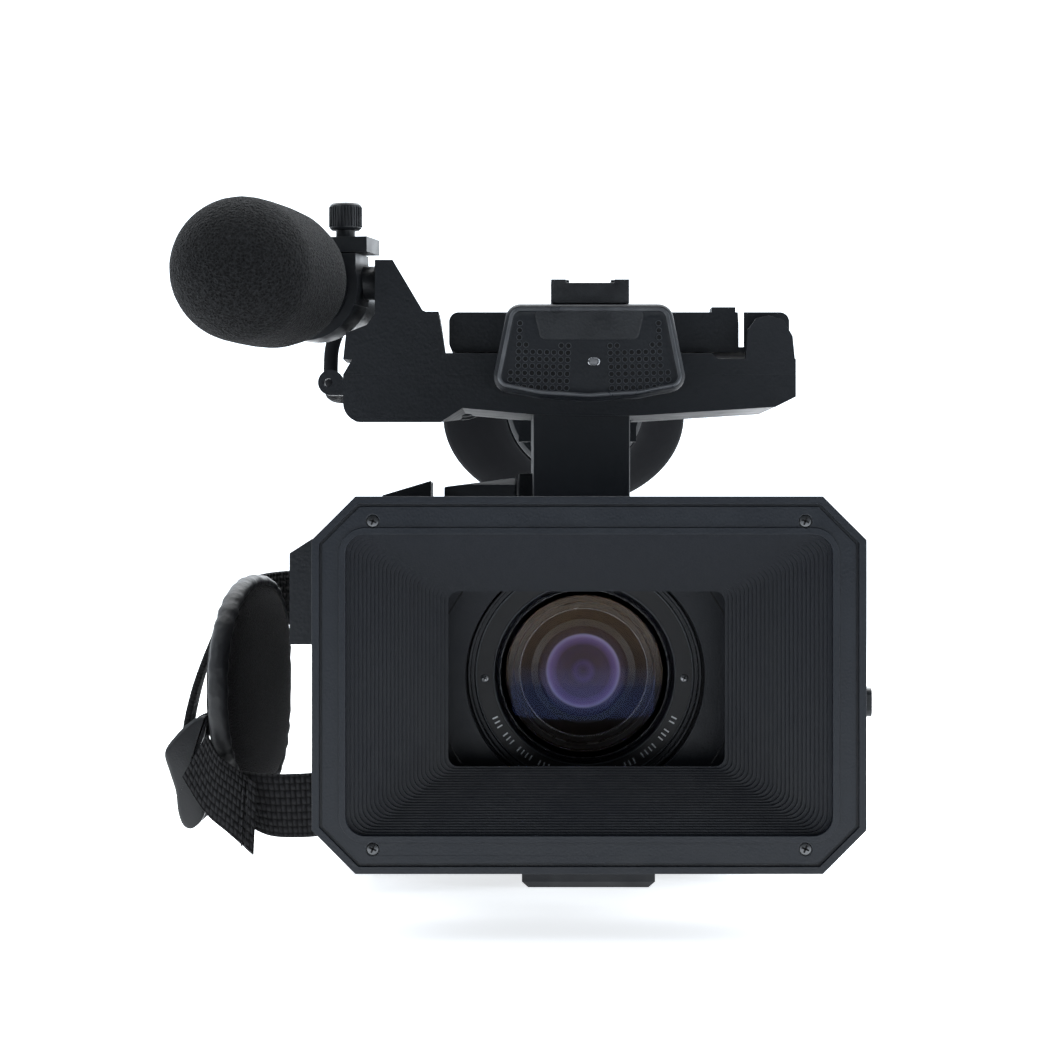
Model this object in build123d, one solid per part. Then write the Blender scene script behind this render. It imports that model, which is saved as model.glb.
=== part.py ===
from build123d import *
import math
import os

# Hand-held camcorder, in millimetres.
# +X points to the camera's own left, +Y to the rear and +Z up.
# The origin is the mouth of the tripod socket, on the resting face.

# Shared clearances
RUN_FIT = 0.05            # radial clearance of a shaft in its bore
SLIDE_GAP = 0.3           # gap beside a piece that slides or swings
PART_GAP = 0.1            # gap between fixed pieces that are dropped into place
WALL = 2.2                # moulded wall

# Lens axis and lens barrel
AXIS_Z = 71.0
LENS_FRONT = -127.0       # front edge of the filter thread
FILTER_R = 33.5           # 67 mm filter thread
FILTER_DEPTH = 6.0
LENS_LIP_R = 34.4
LENS_LIP_LEN = 4.0
HOOD_SEAT_R = 39.0        # front barrel that the hood's collar slides on
HOOD_SEAT_END = -108.0
CORE_R = 34.0             # barrel under the three rings
LENS_BORE_R = 30.0
LENS_BACK = -35.0
FLANGE_R = 46.0
FLANGE_LEN = 4.0
SPACER_R = 42.0
FOCUS_RING = (-106.0, -77.0, 44.0)      # from, to, outer radius
ZOOM_RING = (-73.0, -55.0, 43.2)
IRIS_RING = (-51.0, -41.0, 42.4)

# Lens glass and cells
NAME_RING_T = 2.0
NAME_RING_R = 32.3
FRONT_GLASS_R = 26.4
FRONT_GLASS_EDGE = 4.0
FRONT_GLASS_CROWN = 4.5
CELL_THROAT_R = 22.5
CELL_END_R = 17.7
CELL_LEN = 22.0
ZOOM_GLASS_R = 16.0
ZOOM_CELL_T = 8.0
ZOOM_CELL_Y = -89.0
IRIS_HOLE_R = 9.0
IRIS_Y = -48.0
IRIS_T = 3.0

# Hood
HOOD_W = 152.5
HOOD_H = 103.8
HOOD_CHAMFER = 12.0
HOOD_FRONT = -185.0
HOOD_BOX_LEN = 58.0
HOOD_TAPER_LEN = 10.0
HOOD_COLLAR_LEN = 8.0
HOOD_BACK_W = 112.0
HOOD_BACK_H = 96.0
HOOD_BACK_CHAMFER = 22.0
HOOD_COLLAR_R = 44.0
FACE_T = 5.0
RIM_W = 2.0
GROOVE_W = 0.8
LIP_W = 1.8
FACE_DROP = 0.6
HOOD_OPEN_W = 134.0
HOOD_OPEN_H = 83.0
HOOD_OPEN_R = 5.5
GATE_W = 79.0             # opening at the back of the ribbed funnel
GATE_H = 50.0
GATE_R = 3.0
BAFFLE_WALL = 2.0
BAFFLE_START = 2.0
BAFFLE_END = 35.0
BAFFLE_STEPS = 27
SCREW_X = 59.5
SCREW_UP = 45.1
SCREW_HEAD_R = 1.85
SCREW_HEAD_T = 1.0
SCREW_SHANK_R = 1.0
SCREW_LEN = 5.0
MASK_Y = HOOD_FRONT + 53.0
MASK_T = 2.0
MASK_HOLE_R = 34.9
BLADE_W = 85.6
BLADE_T = 1.2
BLADE_H = 24.2
BLADE_Y = HOOD_FRONT + 38.0
BLADE_PARK = 25.2         # lower edge of the parked upper blade, above the axis
RAIL_W = 4.2
RAIL_LAP = 1.0            # how far a blade reaches into its rail
RAIL_FRONT = HOOD_FRONT + 37.0
LEVER_Y = HOOD_FRONT + 31.0
LEVER_Z = 64.75
LEVER_TRAVEL = 12.5
LEVER_STEM = 3.0
LOCK_R = 3.6
LOCK_STEM_R = 2.0

# Main body
BODY_X = (-46.0, 62.0)
BODY_Y = (-35.0, 112.0)
BODY_Z = (12.0, 118.0)
BODY_SPLIT_X = 10.0
BODY_EDGE_R = 9.0
REAR_T = 5.0
FOOT_X = (-18.4, 23.7)
FOOT_Y = (-55.0, 12.0)
BASE_X = (-36.0, 52.0)
BASE_Y = (10.0, 108.0)
FOOT_CHAMFER = 2.0
SOCKET_R = 2.55           # tapped bore of a 1/4-20 thread
SOCKET_DEPTH = 9.0
PIN_HOLE_R = 2.3
PIN_HOLE_DEPTH = 6.0
PIN_HOLE_Y = -20.0
TOP_COVER_X = (-43.5, -20.0)
TOP_COVER_LOW = 9.0       # height of its outer side above the body
SENSOR_SIZE = 46.0
SENSOR_T = 10.0
SENSOR_Y = -22.0
BOARD_Z = 30.0
BOARD_T = 1.6

# Side controls on the camera's left
USER_BUTTON_R = 4.5
USER_BUTTON_Z = 100.0
USER_BUTTON_Y = 28.0
ND_Y = -10.0
ND_Z = 84.0
ND_TRAVEL = 12.0
DIAL_R = 11.0
DIAL_Y = 62.0
DIAL_Z = 66.0
DIAL_STEM_R = 2.5

# Grip on the camera's right
GRIP_X = -82.0
GRIP_Y = (-67.0, 100.0)
GRIP_Z = (13.0, 118.0)
GRIP_SHOULDER_Z = 106.0
GRIP_WAIST_Z = 49.0
GRIP_EDGE_R = 9.0
BULGE_X = -91.0           # finger rest at the front of the grip
BULGE_END_Y = -25.0
BULGE_Z = (77.5, 110.5)
BULGE_TOP_RUN = 7.0
BULGE_TOP_DROP = 4.5
RIDGE_R = 1.5             # round ridge under a rocking key
GRIP_ROCKER_Y = -30.0
GRIP_ROCKER_X = (-63.0, -47.5)
GRIP_ROCKER_LEN = 32.0
GRIP_ROCKER_H = 10.7
GRIP_ROCKER_SLOPE = 5.0   # how much lower its outer side is
REC_X = -66.0
REC_Z = 103.0
REC_R = 6.0
DOOR_X = (-76.0, -52.0)
DOOR_Z = (40.0, 92.0)
DOOR_T = 2.4
DOOR_PIN_R = 1.2

# Hand strap
PAD_CENTRE = (-111.5, 6.0, 61.0)
PAD_TURN = -9.5           # degrees about the vertical: the pad's rear lies nearer the grip
PAD_T = 9.0
PAD_HALF_LEN = 44.0
PAD_HALF_H = 35.5
PAD_BOW = 1.5             # how far its top and bottom bend towards the hand
WEB_Y = (-30.0, -10.0)
WEB_T = 2.0
WEB_REAR = [(-117.7, 10.0), (-110.1, 46.0), (-84.7, 80.6)]
WEB_REAR_Z = (79.0, 99.0)
WEB_FRONT = [(-79.8, -39.0), (-104.0, -35.5), (-122.7, -31.8)]
WEB_FRONT_Z = (15.0, 35.5)
WEB_BUCKLE = [(-129.7, 20.0), (-129.7, 54.0), (-122.9, 67.0)]
WEB_TAIL = [(-121.2, 43.5), (-103.6, 32.0), (-103.6, 8.7), (-122.0, 29.2)]
WEB_TAIL_Y = (-40.5, -38.7)
BUCKLE_X = (-136.0, -124.4)
BUCKLE_Z = (15.0, 52.0)

# Handle
HANDLE_X = (-14.0, 18.0)
HANDLE_MID_X = 2.0
HANDLE_Z = (155.0, 187.0)
HANDLE_SEAM_Z = 169.0
HANDLE_END_Y = 100.0
HANDLE_BAR_Y = 6.0
PILLAR_X = (-14.9, 15.5)
FRONT_PILLAR_Y = (-63.0, -20.0)
STRIP_X = -19.4           # low textured strip beside the front pillar
STRIP_Y = (-34.0, -22.0)
STRIP_TOP_Z = 131.5
REAR_PILLAR_Y = (72.0, 100.0)
NOSE_Y = (-84.0, -65.0)
ROOF_X = (-9.0, 14.0)
ROOF_Z = (182.6, 186.0)
GRILLE_Y = (-92.0, -84.0)
GRILLE_TOP_X = (-22.9, 27.3)
GRILLE_TOP_Z = 182.3
GRILLE_WIDE_X = (-28.0, 32.3)
GRILLE_WIDE_Z = 155.2
GRILLE_BOTTOM_Z = 152.6
GRILLE_CORNER_R = 4.5
GRILLE_HOLE_R = 0.55
GRILLE_HOLE_Z = 161.3
GRILLE_PITCH = 2.15
SHOE_X = (-9.5, 14.4)
SHOE_Y = (-88.0, -68.0)
SHOE_Z = (182.7, 190.0)
SHOE_SLOT_W = 18.7        # takes an 18.6 mm accessory foot
SHOE_MOUTH_W = 12.7
SHOE_SLOT_H = 2.2
SHOE_LIP_T = 1.5
SHOE_STOP_T = 2.0
SHOE_STOP_DROP = 1.0
BAR_ROCKER_Y = 48.0
BAR_ROCKER_LEN = 28.0
BAR_ROCKER_H = 5.0
BAR_BUTTON_Y = 20.0
BAR_BUTTON_R = 5.0

# Audio and monitor unit across the handle
UNIT_Y = (-65.0, 5.0)
UNIT_X = (-74.4, 67.4)
UNIT_Z = (147.0, 168.7)
UNIT_SEAM_Z = 162.0
UNIT_RIGHT_Z = 166.9
UNIT_EDGE_R = 6.0
TOWER_TOP_Z = 197.9
TOWER_LEFT = -64.5
TOWER_BACK = -42.0
EAR_BACK = -59.0
LCD_X = (-41.4, 66.0)
LCD_Y = (-57.0, 3.0)
LCD_Z = (169.4, 182.0)
LCD_EDGE_R = 3.0
LCD_SLOT = [(49.7, -58.0), (51.5, -58.0), (56.9, 4.0), (54.3, 4.0)]     # slanting slot beside the pull end
LCD_WEB = 1.6
LUG_X = (41.5, 49.0)
LUG_H = 1.6
SCREEN_T = 1.2
SCREEN_MARGIN = 6.0
UNIT_RISE = 3.0           # how much higher the underside is at the rear
HOOK_X = -81.5            # lead hook on the side of the unit
HOOK_Y = (-12.0, -6.0)
HOOK_Z = 161.8
HOOK_R = 4.2
JACK_R = 9.0
JACK_T = 1.6
JACK_X = (-60.0, -38.0)
JACK_Z = 159.0
JACK_BODY_R = 8.2
JACK_BODY_LEN = 12.0
PIN_CIRCLE_R = 3.6
JACK_PIN_R = 1.1

# Microphone and its holder, along a line that points forward, outward and up
MIC_CENTRE = (-84.8, -55.0, 189.8)
MIC_YAW = math.radians(12.0)
MIC_PITCH = 0.0
MIC_R = 10.5
MIC_REAR = -60.0
MIC_FRONT = 86.0
FOAM_R = 21.5
FOAM_FROM = 13.0
FOAM_TO = 96.0
FOAM_REAR_R = 13.5
FOAM_WIDE_FROM = 42.0     # where the foam reaches its full width
ISOLATOR_R = 14.0
HOLDER_R = 17.0
HOLDER_HALF = 8.0
TAB_X = 11.0              # place of the clamp screw beside the microphone
TAB_TOP = 10.2
LID_TAB_T = 4.8
HINGE_X = -18.6
HINGE_R = 2.6
HINGE_PIN_R = 1.2
KNOB_R = 5.0
KNOB_NECK_R = 3.0
KNOB_STEM_R = 1.5
KNOB_NECK_LEN = 2.4
KNOB_LEN = 8.5

# Microphone lead
LEAD_R = 2.5
PLUG_R = 8.6
PLUG_END_Y = 36.0
BOOT_R = 4.0
BOOT_LEN = 9.0
LEAD_ROUTE = [
    (-72.33, 3.69, 189.8),
    (-69.4, 17.5, 189.8),
    (-72.5, 30.0, 189.3),
    (-79.5, 38.0, 186.0),
    (-84.3, 41.0, 178.0),
    (-84.8, 41.5, 167.8),
    (-84.8, 48.3, 160.9),
    (-84.6, 59.0, 160.6),
    (-84.0, 70.5, 160.5),
    (-77.0, 77.7, 160.3),
    (-67.0, 77.7, 159.9),
    (-60.0, 70.7, 159.6),
    (-60.0, 60.0, 159.3),
    (-60.0, 46.0, 159.0),
]

# Eyepiece
EVF_X = 2.0
EVF_HEAD_R = 16.0
EVF_PLATE_T = 3.5         # plate of the bracket on the handle's rear end
EVF_HEAD_GAP = 2.5
EVF_PIVOT_Y = HANDLE_END_Y + EVF_PLATE_T + EVF_HEAD_R + EVF_HEAD_GAP
EVF_PIVOT_Z = 160.0
EVF_NECK_R = EVF_HEAD_R + 0.8
EVF_BODY_R = 26.0
EVF_PIN_R = 3.0
EVF_FLARE_Y = EVF_PIVOT_Y + 18.0
EVF_BACK = EVF_FLARE_Y + 20.0
EYECUP_BACK = EVF_BACK + 21.0
EYECUP_W = 94.7
EYECUP_H = 72.0
EYECUP_T = 3.0
EYE_HOLE_R = 19.0
DIOPTER_R = 5.0

# Battery
BATTERY_X = (-22.0, 42.0)
BATTERY_Z = (22.0, 98.0)
BATTERY_DEPTH = 42.0
BATTERY_EDGE_R = 3.0
RAIL_X = (-8.0, 28.0)
RAIL_T = 4.0
RAIL_DEPTH = 4.0


# ---------- shared helpers ----------

def box(x0, x1, y0, y1, z0, z1):
    return Pos((x0 + x1) / 2, (y0 + y1) / 2, (z0 + z1) / 2) * Box(x1 - x0, y1 - y0, z1 - z0)


def front_plane(y):
    """A plane across the camera: its own x is X and its own y is Z."""
    return Plane(origin=(0, y, 0), x_dir=(1, 0, 0), z_dir=(0, -1, 0))


def prism_y(sketch, y0, y1):
    return extrude(front_plane(y1) * sketch, amount=y1 - y0, dir=(0, -1, 0))


def prism_x(sketch, x0, x1):
    """Extrude a side profile, drawn as (Y, Z), from x0 to x1."""
    plane = Plane(origin=(x0, 0, 0), x_dir=(0, 1, 0), z_dir=(1, 0, 0))
    return extrude(plane * sketch, amount=x1 - x0, dir=(1, 0, 0))


def rod_y(radius, y0, y1, x=0.0, z=AXIS_Z):
    return prism_y(Pos(x, z) * Circle(radius), y0, y1)


def rod_x(radius, x0, x1, y, z):
    return prism_x(Pos(y, z) * Circle(radius), x0, x1)


def rod_z(radius, z0, z1, x, y):
    return extrude(Pos(x, y, z0) * Circle(radius), amount=z1 - z0, dir=(0, 0, 1))


def soften(solid, axis, radius):
    """Round every straight edge that runs along one axis."""
    return fillet(solid.edges().filter_by(axis), radius)


def cut_corner_rectangle(width, height, cut, z=AXIS_Z):
    x = width / 2
    h = height / 2
    points = [(x - cut, -h), (x, -h + cut), (x, h - cut), (x - cut, h)]
    mirrored = [(-px, -pz) for px, pz in points]
    return Pos(0, z) * Polygon(*(points + mirrored))


def round_rectangle(width, height, radius, x=0.0, z=AXIS_Z):
    return Pos(x, z) * RectangleRounded(width, height, radius)


def revolve_on_axis(points, arcs=()):
    """Turn a closed (radius, Y) outline about the lens axis; arcs maps a side's index to its middle point."""
    sides = []
    for index, start in enumerate(points):
        end = points[(index + 1) % len(points)]
        middle = dict(arcs).get(index)
        plane_points = [(start[0], start[1]), (end[0], end[1])]
        if middle:
            sides.append(ThreePointArc(plane_points[0], middle, plane_points[1]))
        else:
            sides.append(Line(*plane_points))
    profile = Plane.XY * make_face(sides)
    return Pos(0, 0, AXIS_Z) * revolve(profile, Axis.Y)


# ---------- hood ----------

def hood_outline(inset=0.0):
    cut = HOOD_CHAMFER - inset * (2 - math.sqrt(2))
    return cut_corner_rectangle(HOOD_W - 2 * inset, HOOD_H - 2 * inset, cut)


def hood_back_outline(inset=0.0):
    cut = HOOD_BACK_CHAMFER - inset * (2 - math.sqrt(2))
    return cut_corner_rectangle(HOOD_BACK_W - 2 * inset, HOOD_BACK_H - 2 * inset, cut)


def hood_form(inset, front, back):
    corner = HOOD_FRONT + HOOD_BOX_LEN
    form = prism_y(hood_outline(inset), front, corner)
    ends = [front_plane(corner) * hood_outline(inset), front_plane(back) * hood_back_outline(inset)]
    return form + loft(ends, ruled=True)


def lock_y():
    return HOOD_FRONT + HOOD_BOX_LEN + HOOD_TAPER_LEN + HOOD_COLLAR_LEN / 2


def hood_shell():
    front = HOOD_FRONT + FACE_T
    back = HOOD_FRONT + HOOD_BOX_LEN + HOOD_TAPER_LEN
    end = back + HOOD_COLLAR_LEN
    shell = hood_form(0.0, front, back) + rod_y(HOOD_COLLAR_R, back, end)
    shell -= hood_form(WALL, front, back - WALL)
    shell -= rod_y(HOOD_SEAT_R + RUN_FIT, back - 2 * WALL, end)
    half = LEVER_STEM / 2 + SLIDE_GAP
    low = LEVER_Z - half
    high = LEVER_Z + LEVER_TRAVEL + half
    shell -= box(HOOD_W / 2 - 2 * WALL, HOOD_W / 2 + 1, LEVER_Y - half, LEVER_Y + half, low, high)
    shell -= rod_x(LOCK_STEM_R + RUN_FIT, HOOD_SEAT_R - WALL, HOOD_COLLAR_R + 1, lock_y(), AXIS_Z)
    return shell


def screw_places():
    ups = [SCREW_UP, -SCREW_UP]
    return [(x, AXIS_Z + up) for x in (-SCREW_X, SCREW_X) for up in ups]


def hood_face_frame():
    face = HOOD_FRONT + FACE_DROP
    back = HOOD_FRONT + FACE_T
    frame = prism_y(hood_outline(), HOOD_FRONT, back)
    frame -= prism_y(hood_outline(RIM_W), HOOD_FRONT, face)
    groove = hood_outline(RIM_W) - hood_outline(RIM_W + GROOVE_W)
    frame -= prism_y(groove, HOOD_FRONT, face + GROOVE_W)
    lip_w = HOOD_OPEN_W + 2 * LIP_W
    lip_h = HOOD_OPEN_H + 2 * LIP_W
    frame += prism_y(round_rectangle(lip_w, lip_h, HOOD_OPEN_R + LIP_W), HOOD_FRONT, back)
    frame -= prism_y(round_rectangle(HOOD_OPEN_W, HOOD_OPEN_H, HOOD_OPEN_R), HOOD_FRONT, back)
    seat_w = HOOD_OPEN_W + 2 * BAFFLE_WALL + 2 * PART_GAP
    seat_h = HOOD_OPEN_H + 2 * BAFFLE_WALL + 2 * PART_GAP
    frame -= prism_y(round_rectangle(seat_w, seat_h, HOOD_OPEN_R), HOOD_FRONT + BAFFLE_START, back)
    for x, z in screw_places():
        frame -= rod_y(SCREW_HEAD_R + PART_GAP, HOOD_FRONT, face + SCREW_HEAD_T, x, z)
        frame -= rod_y(SCREW_SHANK_R + PART_GAP, HOOD_FRONT, back, x, z)
    return frame


def hood_screws():
    face = HOOD_FRONT + FACE_DROP
    screws = []
    for x, z in screw_places():
        head = rod_y(SCREW_HEAD_R, face + 0.1, face + SCREW_HEAD_T, x, z)
        screws.append(head + rod_y(SCREW_SHANK_R, face + SCREW_HEAD_T, face + SCREW_LEN - 1, x, z))
    return Compound(children=[Part() + screw for screw in screws])


def hood_baffle():
    start = HOOD_FRONT + BAFFLE_START
    end = HOOD_FRONT + BAFFLE_END
    wide = round_rectangle(HOOD_OPEN_W + 2 * BAFFLE_WALL, HOOD_OPEN_H + 2 * BAFFLE_WALL, HOOD_OPEN_R)
    narrow = round_rectangle(GATE_W + 2 * BAFFLE_WALL, GATE_H + 2 * BAFFLE_WALL, HOOD_OPEN_R)
    funnel = loft([front_plane(start) * wide, front_plane(end) * narrow], ruled=True)
    pitch = (end - start) / BAFFLE_STEPS
    for step in range(BAFFLE_STEPS):
        share = step / (BAFFLE_STEPS - 1)
        width = HOOD_OPEN_W + (GATE_W - HOOD_OPEN_W) * share
        height = HOOD_OPEN_H + (GATE_H - HOOD_OPEN_H) * share
        radius = HOOD_OPEN_R + (GATE_R - HOOD_OPEN_R) * share
        near = start + step * pitch
        funnel -= prism_y(round_rectangle(width, height, radius), near, near + pitch)
    return funnel


def hood_mask():
    plate = prism_y(hood_outline(WALL) - Pos(0, AXIS_Z) * Circle(MASK_HOLE_R), MASK_Y, MASK_Y + MASK_T)
    inner = BLADE_W / 2 - RAIL_LAP
    groove_x = BLADE_W / 2 + SLIDE_GAP
    rail_z = HOOD_H / 2 - WALL
    low = AXIS_Z - rail_z
    high = AXIS_Z + rail_z
    for side in (-1, 1):
        xs = sorted((side * inner, side * (inner + RAIL_W)))
        rail = box(xs[0], xs[1], RAIL_FRONT, MASK_Y, low, high)
        gs = sorted((side * (inner - 1), side * groove_x))
        rail -= box(gs[0], gs[1], BLADE_Y - SLIDE_GAP, BLADE_Y + BLADE_T + SLIDE_GAP, low, high)
        plate += rail
    return plate


def shutter_blade(side):
    near = AXIS_Z + side * BLADE_PARK
    far = AXIS_Z + side * (BLADE_PARK + BLADE_H)
    half = BLADE_W / 2
    low, high = sorted((near, far))
    return box(-half, half, BLADE_Y, BLADE_Y + BLADE_T, low, high)


def shutter_lever():
    outside = HOOD_W / 2 + SLIDE_GAP
    stem = LEVER_STEM / 2
    knob = box(outside, outside + 4, LEVER_Y - 6, LEVER_Y + 6, LEVER_Z - 4, LEVER_Z + 4)
    knob = soften(knob, Axis.X, 2.0)
    knob += box(HOOD_W / 2 - 2 * WALL, outside, LEVER_Y - stem, LEVER_Y + stem, LEVER_Z - stem, LEVER_Z + stem)
    return knob


def hood_lock_knob():
    outside = HOOD_COLLAR_R + 2.5
    knob = rod_x(LOCK_R, outside, outside + 8, lock_y(), AXIS_Z)
    knob = chamfer(knob.edges(), 0.8)
    return knob + rod_x(LOCK_STEM_R, HOOD_SEAT_R + 1, outside + 1, lock_y(), AXIS_Z)


# ---------- lens ----------

def lens_barrel():
    barrel = rod_y(LENS_LIP_R, LENS_FRONT, LENS_FRONT + LENS_LIP_LEN)
    barrel += rod_y(HOOD_SEAT_R, LENS_FRONT + LENS_LIP_LEN, HOOD_SEAT_END)
    barrel += rod_y(CORE_R, HOOD_SEAT_END, LENS_BACK)
    rings = [FOCUS_RING, ZOOM_RING, IRIS_RING]
    for this_ring, next_ring in zip(rings, rings[1:]):
        barrel += rod_y(SPACER_R, this_ring[1] + SLIDE_GAP, next_ring[0] - SLIDE_GAP)
    barrel += rod_y(SPACER_R, HOOD_SEAT_END + 1, FOCUS_RING[0] - SLIDE_GAP)
    barrel += rod_y(FLANGE_R, IRIS_RING[1] + SLIDE_GAP, LENS_BACK)
    barrel -= rod_y(FILTER_R, LENS_FRONT, LENS_FRONT + FILTER_DEPTH - NAME_RING_T)
    barrel -= rod_y(NAME_RING_R, LENS_FRONT, LENS_FRONT + FILTER_DEPTH)
    barrel -= rod_y(LENS_BORE_R, LENS_FRONT, LENS_BACK)
    return barrel


def control_ring(size):
    near, far, radius = size
    ring = rod_y(radius, near, far)
    ring = chamfer(ring.edges(), 0.8)
    return ring - rod_y(CORE_R + RUN_FIT, near, far)


def front_cell():
    """The flat name ring in front of the glass and the stepped throat behind it."""
    face = LENS_FRONT + FILTER_DEPTH
    glass_back = face + FRONT_GLASS_EDGE
    end = glass_back + CELL_LEN
    flange = NAME_RING_R - PART_GAP
    outer = LENS_BORE_R - PART_GAP
    seat = FRONT_GLASS_R + PART_GAP
    points = [(flange, face - NAME_RING_T), (flange, face), (outer, face), (outer, end), (CELL_END_R, end)]
    points += [(CELL_END_R, end - 2), (CELL_THROAT_R, glass_back), (seat, glass_back), (seat, face - NAME_RING_T)]
    return revolve_on_axis(points)


def front_element():
    face = LENS_FRONT + FILTER_DEPTH
    back = face + FRONT_GLASS_EDGE
    crown = face - FRONT_GLASS_CROWN
    middle = (FRONT_GLASS_R * 0.52, face - FRONT_GLASS_CROWN * 0.73)
    points = [(0, back), (0, crown), (FRONT_GLASS_R, face), (FRONT_GLASS_R, back)]
    return revolve_on_axis(points, arcs={1: middle})


def zoom_cell():
    cell = rod_y(LENS_BORE_R - RUN_FIT, ZOOM_CELL_Y, ZOOM_CELL_Y + ZOOM_CELL_T)
    return cell - rod_y(ZOOM_GLASS_R + PART_GAP, ZOOM_CELL_Y, ZOOM_CELL_Y + ZOOM_CELL_T)


def zoom_element():
    near = ZOOM_CELL_Y + 2
    far = near + 4
    middle = (ZOOM_GLASS_R * 0.52, near - 1.5)
    return revolve_on_axis([(0, far), (0, near - 2), (ZOOM_GLASS_R, near), (ZOOM_GLASS_R, far)], arcs={1: middle})


def iris_unit():
    unit = rod_y(LENS_BORE_R - PART_GAP, IRIS_Y, IRIS_Y + IRIS_T)
    return unit - rod_y(IRIS_HOLE_R, IRIS_Y, IRIS_Y + IRIS_T)


def image_sensor():
    half = SENSOR_SIZE / 2
    block = box(-half, half, SENSOR_Y, SENSOR_Y + SENSOR_T, AXIS_Z - half, AXIS_Z + half)
    inset = half - 3
    for x in (-inset, inset):
        for z in (AXIS_Z - inset, AXIS_Z + inset):
            block += rod_y(2.5, BODY_Y[0] + WALL, SENSOR_Y, x, z)
    return block


# ---------- main body ----------

def body_shell():
    shell = box(*BODY_X, *BODY_Y, *BODY_Z)
    shell = soften(shell, Axis.Y, BODY_EDGE_R)
    inner = box(BODY_X[0] + WALL, BODY_X[1] - WALL, BODY_Y[0] + WALL, BODY_Y[1], BODY_Z[0] + WALL, BODY_Z[1] - WALL)
    shell -= soften(inner, Axis.Y, BODY_EDGE_R - WALL)
    shell -= rod_y(LENS_BORE_R, BODY_Y[0], BODY_Y[0] + WALL)
    shell -= rod_x(USER_BUTTON_R + RUN_FIT, BODY_X[1] - WALL, BODY_X[1], USER_BUTTON_Y, USER_BUTTON_Z)
    shell -= rod_x(DIAL_STEM_R + RUN_FIT, BODY_X[1] - WALL, BODY_X[1], DIAL_Y, DIAL_Z)
    slot = LEVER_STEM / 2 + SLIDE_GAP
    shell -= box(BODY_X[1] - WALL, BODY_X[1], ND_Y - slot, ND_Y + slot, ND_Z - slot, ND_Z + ND_TRAVEL + slot)
    return shell


def body_half(side):
    split = (BODY_SPLIT_X, BODY_X[1]) if side > 0 else (BODY_X[0], BODY_SPLIT_X)
    return body_shell() & box(*split, *BODY_Y, *BODY_Z)


def top_cover():
    front = BODY_Y[0]
    base = BODY_Z[1]
    outline = Polygon((front, base), (front + 2, base + 9.7), (front + 9, base + 12.2),
                      (front + 80, base + 12.2), (front + 96, base))
    cover = prism_x(outline, *TOP_COVER_X)
    x0, x1 = TOP_COVER_X
    slope = Polygon((x0 - 1, base + TOP_COVER_LOW), (x1, base + 12.2), (x1, base + 20), (x0 - 1, base + 20))
    return cover - prism_y(slope, front - 1, front + 100)


def rear_cover():
    plate = box(*BODY_X, BODY_Y[1], BODY_Y[1] + REAR_T, *BODY_Z)
    plate = soften(plate, Axis.Y, BODY_EDGE_R)
    back = BODY_Y[1] + REAR_T
    for x in RAIL_X:
        plate += box(x, x + RAIL_T, back, back + RAIL_DEPTH, BATTERY_Z[0] + 4, BATTERY_Z[1] - 16)
    return plate


def base_plate():
    tongue = box(*FOOT_X, *FOOT_Y, 0, BODY_Z[0])
    wide = box(*BASE_X, *BASE_Y, 0, BODY_Z[0])
    tongue = chamfer(tongue.edges().group_by(Axis.Z)[0], FOOT_CHAMFER)
    wide = chamfer(wide.edges().group_by(Axis.Z)[0], FOOT_CHAMFER)
    plate = tongue + wide
    plate -= rod_z(SOCKET_R, 0, SOCKET_DEPTH, 0, 0)
    plate -= rod_z(PIN_HOLE_R, 0, PIN_HOLE_DEPTH, 0, PIN_HOLE_Y)
    return plate


def main_board():
    inset = WALL
    return box(BODY_X[0] + inset, BODY_X[1] - inset, 0, BODY_Y[1] - 10, BOARD_Z, BOARD_Z + BOARD_T)


def side_button():
    y = USER_BUTTON_Y
    outside = BODY_X[1]
    inside = outside - WALL
    button = rod_x(USER_BUTTON_R, inside - 1, outside + 1.6, y, USER_BUTTON_Z)
    return button + rod_x(USER_BUTTON_R + 1.5, inside - 2, inside - SLIDE_GAP, y, USER_BUTTON_Z)


def nd_switch():
    outside = BODY_X[1] + SLIDE_GAP
    stem = LEVER_STEM / 2
    knob = soften(box(outside, outside + 3.5, ND_Y - 7, ND_Y + 7, ND_Z - 3.5, ND_Z + 3.5), Axis.X, 2.0)
    return knob + box(BODY_X[1] - 2 * WALL, outside, ND_Y - stem, ND_Y + stem, ND_Z - stem, ND_Z + stem)


def menu_dial():
    outside = BODY_X[1] + SLIDE_GAP
    dial = chamfer(rod_x(DIAL_R, outside, outside + 4.5, DIAL_Y, DIAL_Z).edges(), 0.6)
    return dial + rod_x(DIAL_STEM_R, BODY_X[1] - 2 * WALL, outside, DIAL_Y, DIAL_Z)


# ---------- grip ----------

def grip_outline(inset=0.0):
    x0 = GRIP_X + inset
    x1 = BODY_X[0]
    low = GRIP_Z[0] + inset
    high = GRIP_Z[1] - inset
    return Polygon((x1, low), (x1, high), (x1 - 16, high), (x0 + 8, high - 2.5),
                   (x0, GRIP_SHOULDER_Z - inset), (x0, GRIP_WAIST_Z), (x0 + 10, low))


def bulge_form(inset):
    left = BULGE_X + inset
    root = GRIP_X + GRIP_EDGE_R
    low = BULGE_Z[0] + inset
    high = BULGE_Z[1] - inset
    outline = Polygon((root, low), (left, low), (left, high - BULGE_TOP_DROP), (left + BULGE_TOP_RUN, high), (root, high))
    return prism_y(outline, GRIP_Y[0] + inset, BULGE_END_Y - inset)


def grip_form(inset=0.0):
    form = prism_y(grip_outline(inset), GRIP_Y[0] + inset, GRIP_Y[1] - inset)
    outer_edges = form.edges().filter_by(Axis.Y).sort_by(Axis.X)[0:5]
    return fillet(outer_edges, GRIP_EDGE_R - inset) + bulge_form(inset)


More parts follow.
